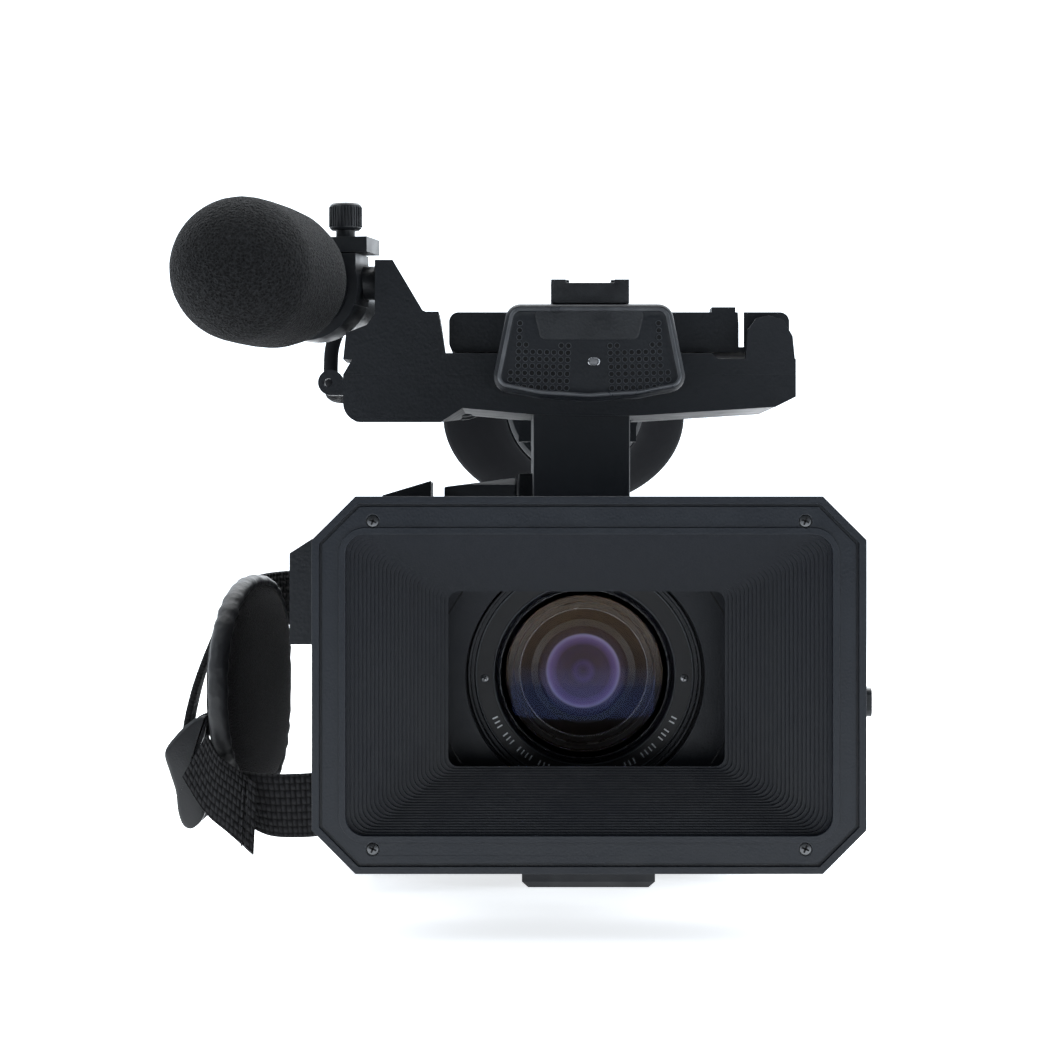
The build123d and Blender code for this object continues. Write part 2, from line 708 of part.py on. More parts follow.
def grip_shell():
    shell = grip_form() - grip_form(WALL)
    clear = HOOD_COLLAR_R + 2
    shell -= rod_y(clear, GRIP_Y[0], BODY_Y[0])
    shell += box(BODY_X[0] - WALL, BODY_X[0], GRIP_Y[0] + 6, GRIP_Y[1] - WALL, GRIP_Z[0] + WALL, GRIP_Z[0] + 12)
    wall_y = GRIP_Y[1] - WALL
    shell -= rod_y(REC_R + RUN_FIT, wall_y, GRIP_Y[1], REC_X, REC_Z)
    return shell - rod_y(clear, GRIP_Y[0], BODY_Y[0])


def rocker(x0, x1, y, z, length, height):
    """A rocking key that rests on a round ridge under its middle and leaves room at both ends."""
    half = length / 2
    drop = 3.0
    outline = Polygon((y - half, z + drop), (y, z), (y + half, z + drop), (y + half, z + drop + 1.0),
                      (y + half * 0.8, z + height), (y, z + height - 0.8), (y - half * 0.8, z + height),
                      (y - half, z + drop + 1.0))
    key = prism_x(outline, x0, x1)
    key = chamfer(key.faces().sort_by(Axis.X)[0].edges().group_by(Axis.Z)[-1], 0.6)
    return key + rod_x(RIDGE_R, x0, x1, y, z + RIDGE_R)


def grip_rocker():
    x0, x1 = GRIP_ROCKER_X
    z = GRIP_Z[1] + SLIDE_GAP
    key = rocker(x0, x1, GRIP_ROCKER_Y, z, GRIP_ROCKER_LEN, GRIP_ROCKER_H)
    top = z + GRIP_ROCKER_H
    wedge = Polygon((x0 - 1, top - GRIP_ROCKER_SLOPE), (x1, top), (x1, top + 1), (x0 - 1, top + 1))
    return key - prism_y(wedge, GRIP_ROCKER_Y - GRIP_ROCKER_LEN, GRIP_ROCKER_Y + GRIP_ROCKER_LEN)


def grip_rec_button():
    inside = GRIP_Y[1] - WALL
    button = rod_y(REC_R, inside - 1, GRIP_Y[1] + 2.5, REC_X, REC_Z)
    return button + rod_y(REC_R + 1.5, inside - 2.5, inside - SLIDE_GAP, REC_X, REC_Z)


def card_door():
    near = GRIP_Y[1] + SLIDE_GAP
    pin_x = DOOR_X[1]
    door = soften(box(DOOR_X[0], pin_x, near, near + DOOR_T, *DOOR_Z), Axis.Y, 2.0)
    door -= box(pin_x - DOOR_PIN_R, pin_x + 1, near, near + DOOR_T, *DOOR_Z)
    return door + rod_z(DOOR_T / 2, DOOR_Z[0] + 1, DOOR_Z[1] - 1, pin_x - DOOR_PIN_R, near + DOOR_T / 2)


# ---------- hand strap ----------

def strap_pad():
    """A padded oval plate, bowed a little around the hand."""
    half = PAD_T / 2
    top = (PAD_BOW, PAD_HALF_H + 1)
    bottom = (PAD_BOW, -PAD_HALF_H - 1)
    sides = [ThreePointArc((top[0] + half, top[1]), (half, 0), (bottom[0] + half, bottom[1])),
             Line((bottom[0] + half, bottom[1]), (bottom[0] - half, bottom[1])),
             ThreePointArc((bottom[0] - half, bottom[1]), (-half, 0), (top[0] - half, top[1])),
             Line((top[0] - half, top[1]), (top[0] + half, top[1]))]
    slab = prism_y(make_face(sides), -PAD_HALF_LEN, PAD_HALF_LEN)
    oval = extrude(Plane(origin=(-PAD_T * 2, 0, 0), x_dir=(0, 1, 0), z_dir=(1, 0, 0))
                   * Ellipse(PAD_HALF_LEN, PAD_HALF_H), amount=PAD_T * 4)
    return Pos(*PAD_CENTRE) * Rot(0, 0, PAD_TURN) * (slab & oval)


def strip_faces(points):
    """The outline of a thin strip of webbing whose middle line runs through a few points."""
    return offset(Polyline(*points), amount=WEB_T / 2, kind=Kind.INTERSECTION)


def strap_webbing():
    rear = extrude(Pos(0, 0, WEB_REAR_Z[0]) * make_face(strip_faces(WEB_REAR).edges()),
                   amount=WEB_REAR_Z[1] - WEB_REAR_Z[0])
    front = extrude(Pos(0, 0, WEB_FRONT_Z[0]) * make_face(strip_faces(WEB_FRONT).edges()),
                    amount=WEB_FRONT_Z[1] - WEB_FRONT_Z[0])
    through = prism_y(make_face(strip_faces(WEB_BUCKLE).edges()), *WEB_Y)
    tail = prism_y(Polygon(*WEB_TAIL, align=None), *WEB_TAIL_Y)
    return Compound(children=[Part() + strip for strip in (rear, front, through, tail)])


def strap_buckle():
    frame = soften(box(*BUCKLE_X, WEB_Y[0] - 3, WEB_Y[1] + 3, *BUCKLE_Z), Axis.Y, 3.0)
    return frame - box(BUCKLE_X[0] + 4, BUCKLE_X[1] - 3, WEB_Y[0], WEB_Y[1], BUCKLE_Z[0] - 1, BUCKLE_Z[1] + 1)


# ---------- handle ----------

def handle_lower():
    grip_bar = box(*HANDLE_X, FRONT_PILLAR_Y[1] - 4, HANDLE_END_Y, HANDLE_Z[0], HANDLE_SEAM_Z)
    rear = box(*PILLAR_X, *REAR_PILLAR_Y, BODY_Z[1], HANDLE_Z[0])
    bar = grip_bar + rear
    bar += box(*PILLAR_X, *FRONT_PILLAR_Y, BODY_Z[1], HANDLE_SEAM_Z - 0.7)
    bar += box(STRIP_X, PILLAR_X[0], *STRIP_Y, BODY_Z[1], STRIP_TOP_Z)
    bar -= box(HANDLE_X[0] + WALL, HANDLE_X[1] - WALL, HANDLE_BAR_Y + 4, HANDLE_END_Y - WALL,
               HANDLE_Z[0] + WALL, HANDLE_SEAM_Z)
    return bar


def nose_outline(inset=0.0):
    xs = (GRILLE_TOP_X[0] + inset, GRILLE_TOP_X[1] - inset)
    ws = (GRILLE_WIDE_X[0] + inset, GRILLE_WIDE_X[1] - inset)
    top = GRILLE_TOP_Z - inset
    wide = GRILLE_WIDE_Z + inset
    bottom = (HANDLE_MID_X, GRILLE_BOTTOM_Z + inset)
    sides = [Line((xs[0], top), (xs[1], top)), Line((xs[1], top), (ws[1], wide)),
             ThreePointArc((ws[1], wide), bottom, (ws[0], wide)), Line((ws[0], wide), (xs[0], top))]
    face = make_face(sides)
    return fillet(face.vertices(), GRILLE_CORNER_R - inset)


def handle_upper():
    nose = prism_y(nose_outline(1.5), *NOSE_Y)
    roof = box(*ROOF_X, SHOE_Y[1], HANDLE_BAR_Y + 4, *ROOF_Z)
    bar = box(*HANDLE_X, HANDLE_BAR_Y, HANDLE_END_Y, HANDLE_SEAM_Z, HANDLE_Z[1])
    top_edges = bar.edges().filter_by(Axis.Y).group_by(Axis.Z)[-1]
    bar = fillet(top_edges, 5.0)
    bar -= box(HANDLE_X[0] + WALL, HANDLE_X[1] - WALL, HANDLE_BAR_Y + WALL, HANDLE_END_Y - WALL,
               HANDLE_SEAM_Z, HANDLE_Z[1] - 2 * WALL)
    bar -= rod_z(BAR_BUTTON_R + RUN_FIT, HANDLE_Z[1] - 2 * WALL, HANDLE_Z[1], HANDLE_MID_X, BAR_BUTTON_Y)
    block_top = box(*ROOF_X, NOSE_Y[0], LCD_Y[0] - 1.5, GRILLE_TOP_Z - 4, ROOF_Z[0])
    return nose + block_top + roof + bar


def handle_rec_button():
    under = HANDLE_Z[1] - 2 * WALL
    button = rod_z(BAR_BUTTON_R, under - 1, HANDLE_Z[1] + 1.6, HANDLE_MID_X, BAR_BUTTON_Y)
    return button + rod_z(BAR_BUTTON_R + 1.5, under - 2.5, under - SLIDE_GAP, HANDLE_MID_X, BAR_BUTTON_Y)


def mic_grille():
    cap = prism_y(nose_outline(), *GRILLE_Y)
    cap -= prism_y(nose_outline(WALL), GRILLE_Y[0] + WALL, GRILLE_Y[1])
    for side in (-1, 1):
        for column in range(3):
            for row in range(4):
                x = HANDLE_MID_X + side * (5 + column) * GRILLE_PITCH
                z = GRILLE_HOLE_Z + row * GRILLE_PITCH
                cap -= rod_y(GRILLE_HOLE_R, GRILLE_Y[0], GRILLE_Y[0] + WALL, x, z)
    return cap


def shoe_rail():
    """A slotted rail that is open at the rear and has a stop wall at the front."""
    middle = (SHOE_X[0] + SHOE_X[1]) / 2
    rail = box(*SHOE_X, *SHOE_Y, *SHOE_Z)
    slot_top = SHOE_Z[1] - SHOE_LIP_T
    half = SHOE_SLOT_W / 2
    mouth = SHOE_MOUTH_W / 2
    start = SHOE_Y[0] + SHOE_STOP_T
    rail -= box(middle - half, middle + half, start, SHOE_Y[1], slot_top - SHOE_SLOT_H, slot_top)
    rail -= box(middle - mouth, middle + mouth, start, SHOE_Y[1], slot_top - SHOE_SLOT_H, SHOE_Z[1])
    return rail - box(middle - mouth - 1, middle + mouth + 1, SHOE_Y[0], start, SHOE_Z[1] - SHOE_STOP_DROP, SHOE_Z[1])


# ---------- audio and monitor unit ----------

def handle_cut():
    front = box(PILLAR_X[0] - PART_GAP, PILLAR_X[1] + PART_GAP, FRONT_PILLAR_Y[0] - PART_GAP, UNIT_Y[1],
                UNIT_Z[0], UNIT_Z[1] + 1)
    return front + box(HANDLE_X[0] - PART_GAP, HANDLE_X[1] + PART_GAP, FRONT_PILLAR_Y[1] - 5, UNIT_Y[1],
                       UNIT_Z[0], UNIT_Z[1] + 1)


def jack_room():
    """Bores for the two round connectors in the unit's rear face."""
    depth = UNIT_Y[1] - JACK_BODY_LEN - 2 * WALL
    bores = [rod_y(JACK_BODY_R + PART_GAP, depth, UNIT_Y[1], x, JACK_Z) for x in JACK_X]
    return bores[0] + bores[1]


def unit_lower_shell():
    outline = Polygon((UNIT_X[0], UNIT_SEAM_Z), (UNIT_X[0], UNIT_Z[0]), (-44, UNIT_Z[0]), (-37, UNIT_Z[0] + 4.5),
                      (-15, UNIT_Z[0] + 2.5), (16, UNIT_Z[0] + 2), (61, UNIT_Z[0] + 4.8),
                      (UNIT_X[1], UNIT_Z[0] + 8), (UNIT_X[1], UNIT_SEAM_Z))
    shell = prism_y(outline, *UNIT_Y)
    corner = shell.edges().filter_by(Axis.Y).group_by(Axis.X)[0].sort_by(Axis.Z)[0]
    shell = fillet(corner, UNIT_EDGE_R)
    front = UNIT_Y[0] + WALL
    back = UNIT_Y[1] - WALL
    floor = UNIT_Z[0] + 8
    shell -= box(UNIT_X[0] + WALL, PILLAR_X[0] - 2 * WALL, front, back, floor, UNIT_SEAM_Z)
    shell -= box(HANDLE_X[1] + 2 * WALL, UNIT_X[1] - WALL, front, back, floor, UNIT_SEAM_Z)
    shell -= handle_cut()
    rise = Polygon((UNIT_Y[0], UNIT_Z[0]), (UNIT_Y[1] + 1, UNIT_Z[0] - 1), (UNIT_Y[1] + 1, UNIT_Z[0] + UNIT_RISE))
    shell -= prism_x(rise, UNIT_X[0], PILLAR_X[0])
    hook = rod_y(HOOK_R, *HOOK_Y, HOOK_X, HOOK_Z)
    hook += box(HOOK_X, UNIT_X[0] - PART_GAP, *HOOK_Y, HOOK_Z - HOOK_R, HOOK_Z)
    hook += box(UNIT_X[0] - PART_GAP, UNIT_X[0] + PART_GAP, *HOOK_Y, HOOK_Z - HOOK_R, HOOK_Z)
    shell += hook - rod_y(HOOK_R / 3, *HOOK_Y, HOOK_X - 0.8, HOOK_Z)
    return shell - jack_room()


def unit_upper_shell():
    right = 43.0
    outline = Polygon((UNIT_X[0], UNIT_SEAM_Z), (UNIT_X[1], UNIT_SEAM_Z), (UNIT_X[1], UNIT_RIGHT_Z),
                      (right, UNIT_RIGHT_Z), (right - 2, UNIT_Z[1]), (UNIT_X[0] + 4, UNIT_Z[1]))
    shell = prism_y(outline, *UNIT_Y) - handle_cut()
    tower = Polygon((-42.3, UNIT_Z[1] - 2), (-44.5, 181.7), (-48.6, 181.7), (-49.5, 182.1), (-58.9, TOWER_TOP_Z),
                    (TOWER_LEFT, TOWER_TOP_Z), (TOWER_LEFT, 181), (-67, 177.5), (-73.5, 175), (UNIT_X[0], UNIT_Z[1] - 2))
    shell += prism_y(tower, UNIT_Y[0], TOWER_BACK)
    ear = Polygon((51.6, UNIT_RIGHT_Z - 1), (52.4, 176), (55, 179.6), (59, 180.4), (63.5, 179),
                  (66.4, 174), (67.2, UNIT_RIGHT_Z - 1))
    shell += prism_y(ear, UNIT_Y[0], EAR_BACK)
    return shell - jack_room()


def xlr_jacks():
    jacks = []
    face = UNIT_Y[1]
    for x in JACK_X:
        jack = rod_y(JACK_R, face, face + JACK_T, x, JACK_Z)
        jack += rod_y(JACK_BODY_R, face - JACK_BODY_LEN, face, x, JACK_Z)
        for turn in range(3):
            angle = math.radians(90 + 120 * turn)
            place = (x + PIN_CIRCLE_R * math.cos(angle), JACK_Z + PIN_CIRCLE_R * math.sin(angle))
            jack -= rod_y(JACK_PIN_R, face - 8, face + JACK_T, *place)
        jacks.append(Part() + jack)
    return Compound(children=jacks)


def lcd_case():
    case = soften(box(*LCD_X, *LCD_Y, *LCD_Z), Axis.Y, LCD_EDGE_R)
    left = LCD_X[0]
    case -= box(left + 3, left + 15, LCD_Y[0] + 2, LCD_Y[0] + 14, LCD_Z[1] - 1.2, LCD_Z[1])
    slot = Polygon(*LCD_SLOT, align=None)
    case -= extrude(Pos(0, 0, LCD_Z[0] + LCD_WEB) * slot, amount=LCD_Z[1] - LCD_Z[0])
    case += box(*LUG_X, LCD_Y[0], LCD_Y[0] + 12, LCD_Z[1] - 1, LCD_Z[1] + LUG_H)
    pocket = (left + SCREEN_MARGIN, LCD_X[1] - 24, LCD_Y[0] + SCREEN_MARGIN, LCD_Y[1] - SCREEN_MARGIN)
    return case - box(*pocket, LCD_Z[0], LCD_Z[0] + SCREEN_T)


def lcd_screen():
    inset = SCREEN_MARGIN + PART_GAP
    return box(LCD_X[0] + inset, LCD_X[1] - 24 - PART_GAP, LCD_Y[0] + inset, LCD_Y[1] - inset,
               LCD_Z[0] + 0.2, LCD_Z[0] + SCREEN_T)


# ---------- microphone and holder ----------

def mic_forward():
    level = math.cos(MIC_PITCH)
    return (-math.sin(MIC_YAW) * level, -math.cos(MIC_YAW) * level, math.sin(MIC_PITCH))


def mic_plane():
    """The holder's own frame: x to the camera's left, y up, z forward along the microphone."""
    return Plane(origin=MIC_CENTRE, x_dir=(math.cos(MIC_YAW), -math.sin(MIC_YAW), 0), z_dir=mic_forward())


def local_rod(radius, z0, z1, x=0.0, y=0.0):
    return extrude(Pos(x, y, z0) * Circle(radius), amount=z1 - z0, dir=(0, 0, 1))


def local_rod_up(radius, y0, y1, x, z=0.0):
    base = Plane(origin=(x, y0, z), x_dir=(1, 0, 0), z_dir=(0, 1, 0))
    return extrude(base * Circle(radius), amount=y1 - y0, dir=(0, 1, 0))


def mic_body():
    body = local_rod(MIC_R, MIC_REAR, MIC_FRONT)
    body = chamfer(body.edges(), 1.5)
    return mic_plane() * body


def windscreen():
    """A foam cover with a round nose that narrows to its open rear end."""
    nose = FOAM_TO - FOAM_R
    swell = (FOAM_REAR_R + (FOAM_R - FOAM_REAR_R) * 0.72, (FOAM_FROM + FOAM_WIDE_FROM) / 2 - 2)
    slope = math.sqrt(0.5)
    sides = [Line((0, FOAM_FROM), (FOAM_REAR_R, FOAM_FROM)),
             ThreePointArc((FOAM_REAR_R, FOAM_FROM), swell, (FOAM_R, FOAM_WIDE_FROM)),
             Line((FOAM_R, FOAM_WIDE_FROM), (FOAM_R, nose)),
             ThreePointArc((FOAM_R, nose), (FOAM_R * slope, nose + FOAM_R * slope), (0, FOAM_TO)),
             Line((0, FOAM_TO), (0, FOAM_FROM))]
    foam = revolve(Plane.XZ * make_face(sides), Axis.Z)
    foam -= local_rod(MIC_R + PART_GAP, FOAM_FROM, MIC_FRONT + PART_GAP)
    return mic_plane() * foam


def mic_isolator():
    sleeve = local_rod(ISOLATOR_R - PART_GAP, -HOLDER_HALF - 1, HOLDER_HALF + 1)
    return mic_plane() * (sleeve - local_rod(MIC_R + PART_GAP, -HOLDER_HALF - 1, HOLDER_HALF + 1))


def holder_ring():
    ring = local_rod(HOLDER_R, -HOLDER_HALF, HOLDER_HALF)
    return ring - local_rod(ISOLATOR_R, -HOLDER_HALF, HOLDER_HALF)


def clamp_base():
    span = HOLDER_HALF
    ring = holder_ring()
    lower = ring & box(-30, 30, -30, -SLIDE_GAP, -span, span)
    right = ring & box(0, 30, -30, TAB_TOP, -span, span)
    post = box(TAB_X - 0.6, TAB_X + 5.4, -6, TAB_TOP, -span, span) - local_rod(ISOLATOR_R, -span, span)
    base = lower + right + post
    knuckle = local_rod(HINGE_R, -span, -3.3, HINGE_X) + local_rod(HINGE_R, 3.3, span, HINGE_X)
    arm = box(HINGE_X, -HOLDER_R + 3, -HINGE_R, -SLIDE_GAP, -span, -3.3)
    arm += box(HINGE_X, -HOLDER_R + 3, -HINGE_R, -SLIDE_GAP, 3.3, span)
    base += (arm - local_rod(ISOLATOR_R, -span, span)) + knuckle
    base -= local_rod(HINGE_R + SLIDE_GAP, -3.3, 3.3, HINGE_X)
    base += local_rod(HINGE_PIN_R, -span, span, HINGE_X)
    placed = mic_plane() * base
    hub_z = MIC_CENTRE[2] + 1.5
    return placed + rod_x(5.35, MIC_CENTRE[0] + HOLDER_R - 1.2, TOWER_LEFT, MIC_CENTRE[1], hub_z)


def clamp_lid():
    span = HOLDER_HALF
    ring = holder_ring()
    left = ring & box(-30, 0.1, SLIDE_GAP, 30, -span, span)
    right = ring & box(0, 30, TAB_TOP + SLIDE_GAP, 30, -span, span)
    low = TAB_TOP + SLIDE_GAP
    tab = box(4, TAB_X + 9, low, low + LID_TAB_T, -span, span) - local_rod(ISOLATOR_R, -span, span)
    lid = left + right + tab
    arm = box(HINGE_X, -HOLDER_R + 3, SLIDE_GAP, HINGE_R, -3, 3) - local_rod(ISOLATOR_R, -span, span)
    lid += arm + local_rod(HINGE_R, -3, 3, HINGE_X)
    lid -= local_rod(HINGE_PIN_R + RUN_FIT, -3, 3, HINGE_X)
    knuckle_room = box(HINGE_X - 4, HINGE_X + HINGE_R + SLIDE_GAP, -4, HINGE_R + SLIDE_GAP, -span, span)
    lid -= knuckle_room & (box(-40, 0, -5, 5, -span, -3) + box(-40, 0, -5, 5, 3, span))
    lid -= local_rod_up(KNOB_STEM_R + RUN_FIT, low - 1, low + LID_TAB_T + 1, TAB_X)
    return mic_plane() * lid


def clamp_knob():
    low = TAB_TOP + SLIDE_GAP
    top = low + LID_TAB_T + 0.2
    knob = local_rod_up(KNOB_R, top + KNOB_NECK_LEN, top + KNOB_NECK_LEN + KNOB_LEN, TAB_X)
    knob = chamfer(knob.edges(), 0.7)
    knob += local_rod_up(KNOB_NECK_R, top, top + KNOB_NECK_LEN, TAB_X)
    knob += local_rod_up(KNOB_STEM_R, low, top, TAB_X)
    return mic_plane() * knob


def route_turns(points):
    """The largest arc radius that each inner corner of the lead's route has room for."""
    radii = []
    for before, here, after in zip(points, points[1:], points[2:]):
        into = Vector(*here) - Vector(*before)
        out = Vector(*after) - Vector(*here)
        turn = math.radians(into.get_angle(out))
        radii.append(0.45 * min(into.length, out.length) / math.tan(turn / 2))
    return radii


def mic_cable():
    radii = route_turns(LEAD_ROUTE)
    print("lead radii", [round(radius, 1) for radius in radii])
    path = FilletPolyline(*LEAD_ROUTE, radius=radii)
    print("lead length", round(path.length, 1))
    start = Plane(origin=LEAD_ROUTE[0], z_dir=path % 0)
    tube = sweep(start * Circle(LEAD_R), path=path)
    print("lead volume ratio", round(tube.volume / (math.pi * LEAD_R ** 2 * path.length), 4))
    return tube


def mic_plug():
    start = UNIT_Y[1] + JACK_T + PART_GAP
    plug = chamfer(rod_y(PLUG_R, start, PLUG_END_Y, JACK_X[0], JACK_Z).edges(), 1.0)
    end = Vector(*LEAD_ROUTE[-1])
    direction = (Vector(*LEAD_ROUTE[-2]) - end).normalized()
    root = end - direction * (BOOT_LEN + 5)
    boot = extrude(Plane(origin=root, z_dir=direction) * Circle(BOOT_R), amount=BOOT_LEN + 5, dir=direction)
    return plug + boot


# ---------- eyepiece ----------

def evf_bracket():
    outer = EVF_HEAD_R + 2.0
    left = (EVF_X - outer - 3.5, EVF_X - outer + 0.8)
    right = (EVF_X + outer - 0.8, EVF_X + outer + 3.5)
    back = HANDLE_END_Y + EVF_PLATE_T
    bracket = box(left[0], right[1], HANDLE_END_Y, back, EVF_PIVOT_Z - 15, EVF_PIVOT_Z + 15)
    for ear in (left, right):
        bracket += box(*ear, back, EVF_PIVOT_Y, EVF_PIVOT_Z - 11, EVF_PIVOT_Z + 11)
        bracket += rod_x(11, *ear, EVF_PIVOT_Y, EVF_PIVOT_Z)
    return bracket + rod_x(EVF_PIN_R, left[1] - 1, right[0] + 1, EVF_PIVOT_Y, EVF_PIVOT_Z)


def evf_tube():
    half = EVF_HEAD_R + 2.0 - 0.8 - SLIDE_GAP
    tube = rod_x(EVF_HEAD_R, EVF_X - half, EVF_X + half, EVF_PIVOT_Y, EVF_PIVOT_Z)
    tube += rod_y(EVF_NECK_R, EVF_PIVOT_Y + 6, EVF_FLARE_Y, EVF_X, EVF_PIVOT_Z)
    body = rod_y(EVF_BODY_R, EVF_FLARE_Y, EVF_BACK, EVF_X, EVF_PIVOT_Z)
    tube += chamfer(body.edges(), 1.5)
    tube -= rod_x(EVF_PIN_R + RUN_FIT, EVF_X - half, EVF_X + half, EVF_PIVOT_Y, EVF_PIVOT_Z)
    tube -= rod_y(EYE_HOLE_R, EVF_FLARE_Y + 4, EVF_BACK, EVF_X, EVF_PIVOT_Z)
    side = EVF_X + EVF_BODY_R
    return tube - rod_x(1.5 + RUN_FIT, side - 4, side + 1, EVF_FLARE_Y + 10, EVF_PIVOT_Z)


def evf_lens():
    lens = rod_y(EYE_HOLE_R - PART_GAP, EVF_BACK - 8, EVF_BACK - 4, EVF_X, EVF_PIVOT_Z)
    return lens


def diopter_dial():
    side = EVF_X + EVF_BODY_R
    dial = chamfer(rod_x(DIOPTER_R, side + SLIDE_GAP, side + 3, EVF_FLARE_Y + 10, EVF_PIVOT_Z).edges(), 0.4)
    return dial + rod_x(1.5, side - 2.5, side + 1, EVF_FLARE_Y + 10, EVF_PIVOT_Z)


def cup_section(inset, y):
    return front_plane(y) * (Pos(EVF_X - 4, EVF_PIVOT_Z - 3) * Ellipse(EYECUP_W / 2 - inset, EYECUP_H / 2 - inset))


def eyecup():
    start = EVF_BACK + PART_GAP
    throat = front_plane(start) * (Pos(EVF_X, EVF_PIVOT_Z) * Circle(EVF_BODY_R))
    cup = loft([throat, cup_section(0, EYECUP_BACK)])
    inner_start = start + 3
    inner_throat = front_plane(inner_start) * (Pos(EVF_X, EVF_PIVOT_Z) * Circle(EYE_HOLE_R))
    hollow = loft([inner_throat, cup_section(EYECUP_T, EYECUP_BACK + 1)])
    return cup - hollow - rod_y(EYE_HOLE_R, start - 1, inner_start + 1, EVF_X, EVF_PIVOT_Z)


# ---------- battery ----------

def battery_pack():
    front = BODY_Y[1] + REAR_T + SLIDE_GAP
    pack = box(*BATTERY_X, front, front + BATTERY_DEPTH, *BATTERY_Z)
    pack = soften(pack, Axis.Z, BATTERY_EDGE_R)
    for x in RAIL_X:
        groove_end = front + RAIL_DEPTH + SLIDE_GAP
        pack -= box(x - SLIDE_GAP, x + RAIL_T + SLIDE_GAP, front, groove_end, BATTERY_Z[0], BATTERY_Z[1] - 12)
    return pack


NODES = {
    "hood_shell": hood_shell,
    "hood_face_frame": hood_face_frame,
    "hood_screws": hood_screws,
    "hood_baffle": hood_baffle,
    "hood_mask": hood_mask,
    "shutter_upper": lambda: shutter_blade(1),
    "shutter_lower": lambda: shutter_blade(-1),
    "shutter_lever": shutter_lever,
    "hood_lock_knob": hood_lock_knob,
    "lens_barrel": lens_barrel,
    "focus_ring": lambda: control_ring(FOCUS_RING),
    "zoom_ring": lambda: control_ring(ZOOM_RING),
    "iris_ring": lambda: control_ring(IRIS_RING),
    "front_cell": front_cell,
    "front_element": front_element,
    "zoom_cell": zoom_cell,
    "zoom_element": zoom_element,
    "iris_unit": iris_unit,
    "image_sensor": image_sensor,
    "body_left_shell": lambda: body_half(1),
    "body_right_shell": lambda: body_half(-1),
    "top_cover": top_cover,
    "rear_cover": rear_cover,
    "base_plate": base_plate,
    "main_board": main_board,
    "user_button": side_button,
    "nd_switch": nd_switch,
    "menu_dial": menu_dial,
    "grip_shell": grip_shell,
    "grip_rocker": grip_rocker,
    "grip_rec_button": grip_rec_button,
    "card_door": card_door,
    "strap_pad": strap_pad,
    "strap_webbing": strap_webbing,
    "strap_buckle": strap_buckle,
    "handle_lower": handle_lower,
    "handle_upper": handle_upper,
    "handle_rocker": lambda: rocker(-6, 10, BAR_ROCKER_Y, HANDLE_Z[1] + SLIDE_GAP, BAR_ROCKER_LEN, BAR_ROCKER_H),
    "handle_rec_button": handle_rec_button,
    "mic_grille": mic_grille,
    "shoe_rail": shoe_rail,
    "unit_lower_shell": unit_lower_shell,
    "unit_upper_shell": unit_upper_shell,
    "xlr_jacks": xlr_jacks,
    "lcd_case": lcd_case,
    "lcd_screen": lcd_screen,
    "mic_body": mic_body,
    "windscreen": windscreen,
    "mic_isolator": mic_isolator,
    "clamp_base": clamp_base,
    "clamp_lid": clamp_lid,
    "clamp_knob": clamp_knob,
    "mic_cable": mic_cable,
    "mic_plug": mic_plug,
    "evf_bracket": evf_bracket,
    "evf_tube": evf_tube,
    "eyecup": eyecup,
    "evf_lens": evf_lens,
    "diopter_dial": diopter_dial,
    "battery_pack": battery_pack,
}

os.makedirs("parts", exist_ok=True)
for node, make in NODES.items():
    export_step(make(), f"parts/{node}.step")
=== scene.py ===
import math

import bmesh
import bpy
from mathutils import Matrix, Vector


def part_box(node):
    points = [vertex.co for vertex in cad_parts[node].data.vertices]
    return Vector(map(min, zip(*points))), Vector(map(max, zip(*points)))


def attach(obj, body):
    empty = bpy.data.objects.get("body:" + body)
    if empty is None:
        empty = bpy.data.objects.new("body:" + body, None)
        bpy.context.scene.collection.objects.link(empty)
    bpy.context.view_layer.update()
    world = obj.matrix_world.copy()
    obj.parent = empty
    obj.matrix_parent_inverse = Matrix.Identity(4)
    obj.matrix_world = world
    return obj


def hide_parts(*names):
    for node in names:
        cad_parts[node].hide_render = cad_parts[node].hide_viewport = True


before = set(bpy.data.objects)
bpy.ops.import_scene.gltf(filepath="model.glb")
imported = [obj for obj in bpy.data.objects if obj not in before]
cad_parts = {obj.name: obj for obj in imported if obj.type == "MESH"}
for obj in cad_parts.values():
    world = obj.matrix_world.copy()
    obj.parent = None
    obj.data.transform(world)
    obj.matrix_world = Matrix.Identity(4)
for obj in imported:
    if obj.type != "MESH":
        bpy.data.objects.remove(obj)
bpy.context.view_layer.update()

# Units are metres. +X is the camera's own left, +Y its rear and +Z up.
MM = 0.001
BODY = "camera_body"
ORIGIN = (0, 0, 0)
UPRIGHT = (0, 0, 0)
FRONT = (0, -1, 0)
ROOM_LIGHT = 0.10
SWEEP_LIGHT = 2.2
FLOOR_LIFT = 0.75
FLOOR_FADE = (-0.75, -0.35)


def mm(*values):
    return tuple(value * MM for value in values)


def at(x, y, z):
    """A point given in millimetres."""
    return Vector((x, y, z)) * MM


def low(node):
    return Vector(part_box(node)[0])


def high(node):
    return Vector(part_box(node)[1])


def middle(node):
    return (low(node) + high(node)) / 2


AXIS_Z = middle("lens_barrel").z


def new_object(name, data):
    thing = bpy.data.objects.new(name, data)
    bpy.context.scene.collection.objects.link(thing)
    return thing


# ---------- camera, light and floor ----------

def make_camera():
    data = bpy.data.cameras.new("camera")
    camera = new_object("camera", data)
    data.sensor_width = 36.0
    data.lens = 108.35
    data.clip_start = 0.01
    camera.location = mm(-19.0, -1045.0, 116.4)
    camera.rotation_euler = (math.radians(90), 0, 0)
    bpy.context.scene.camera = camera


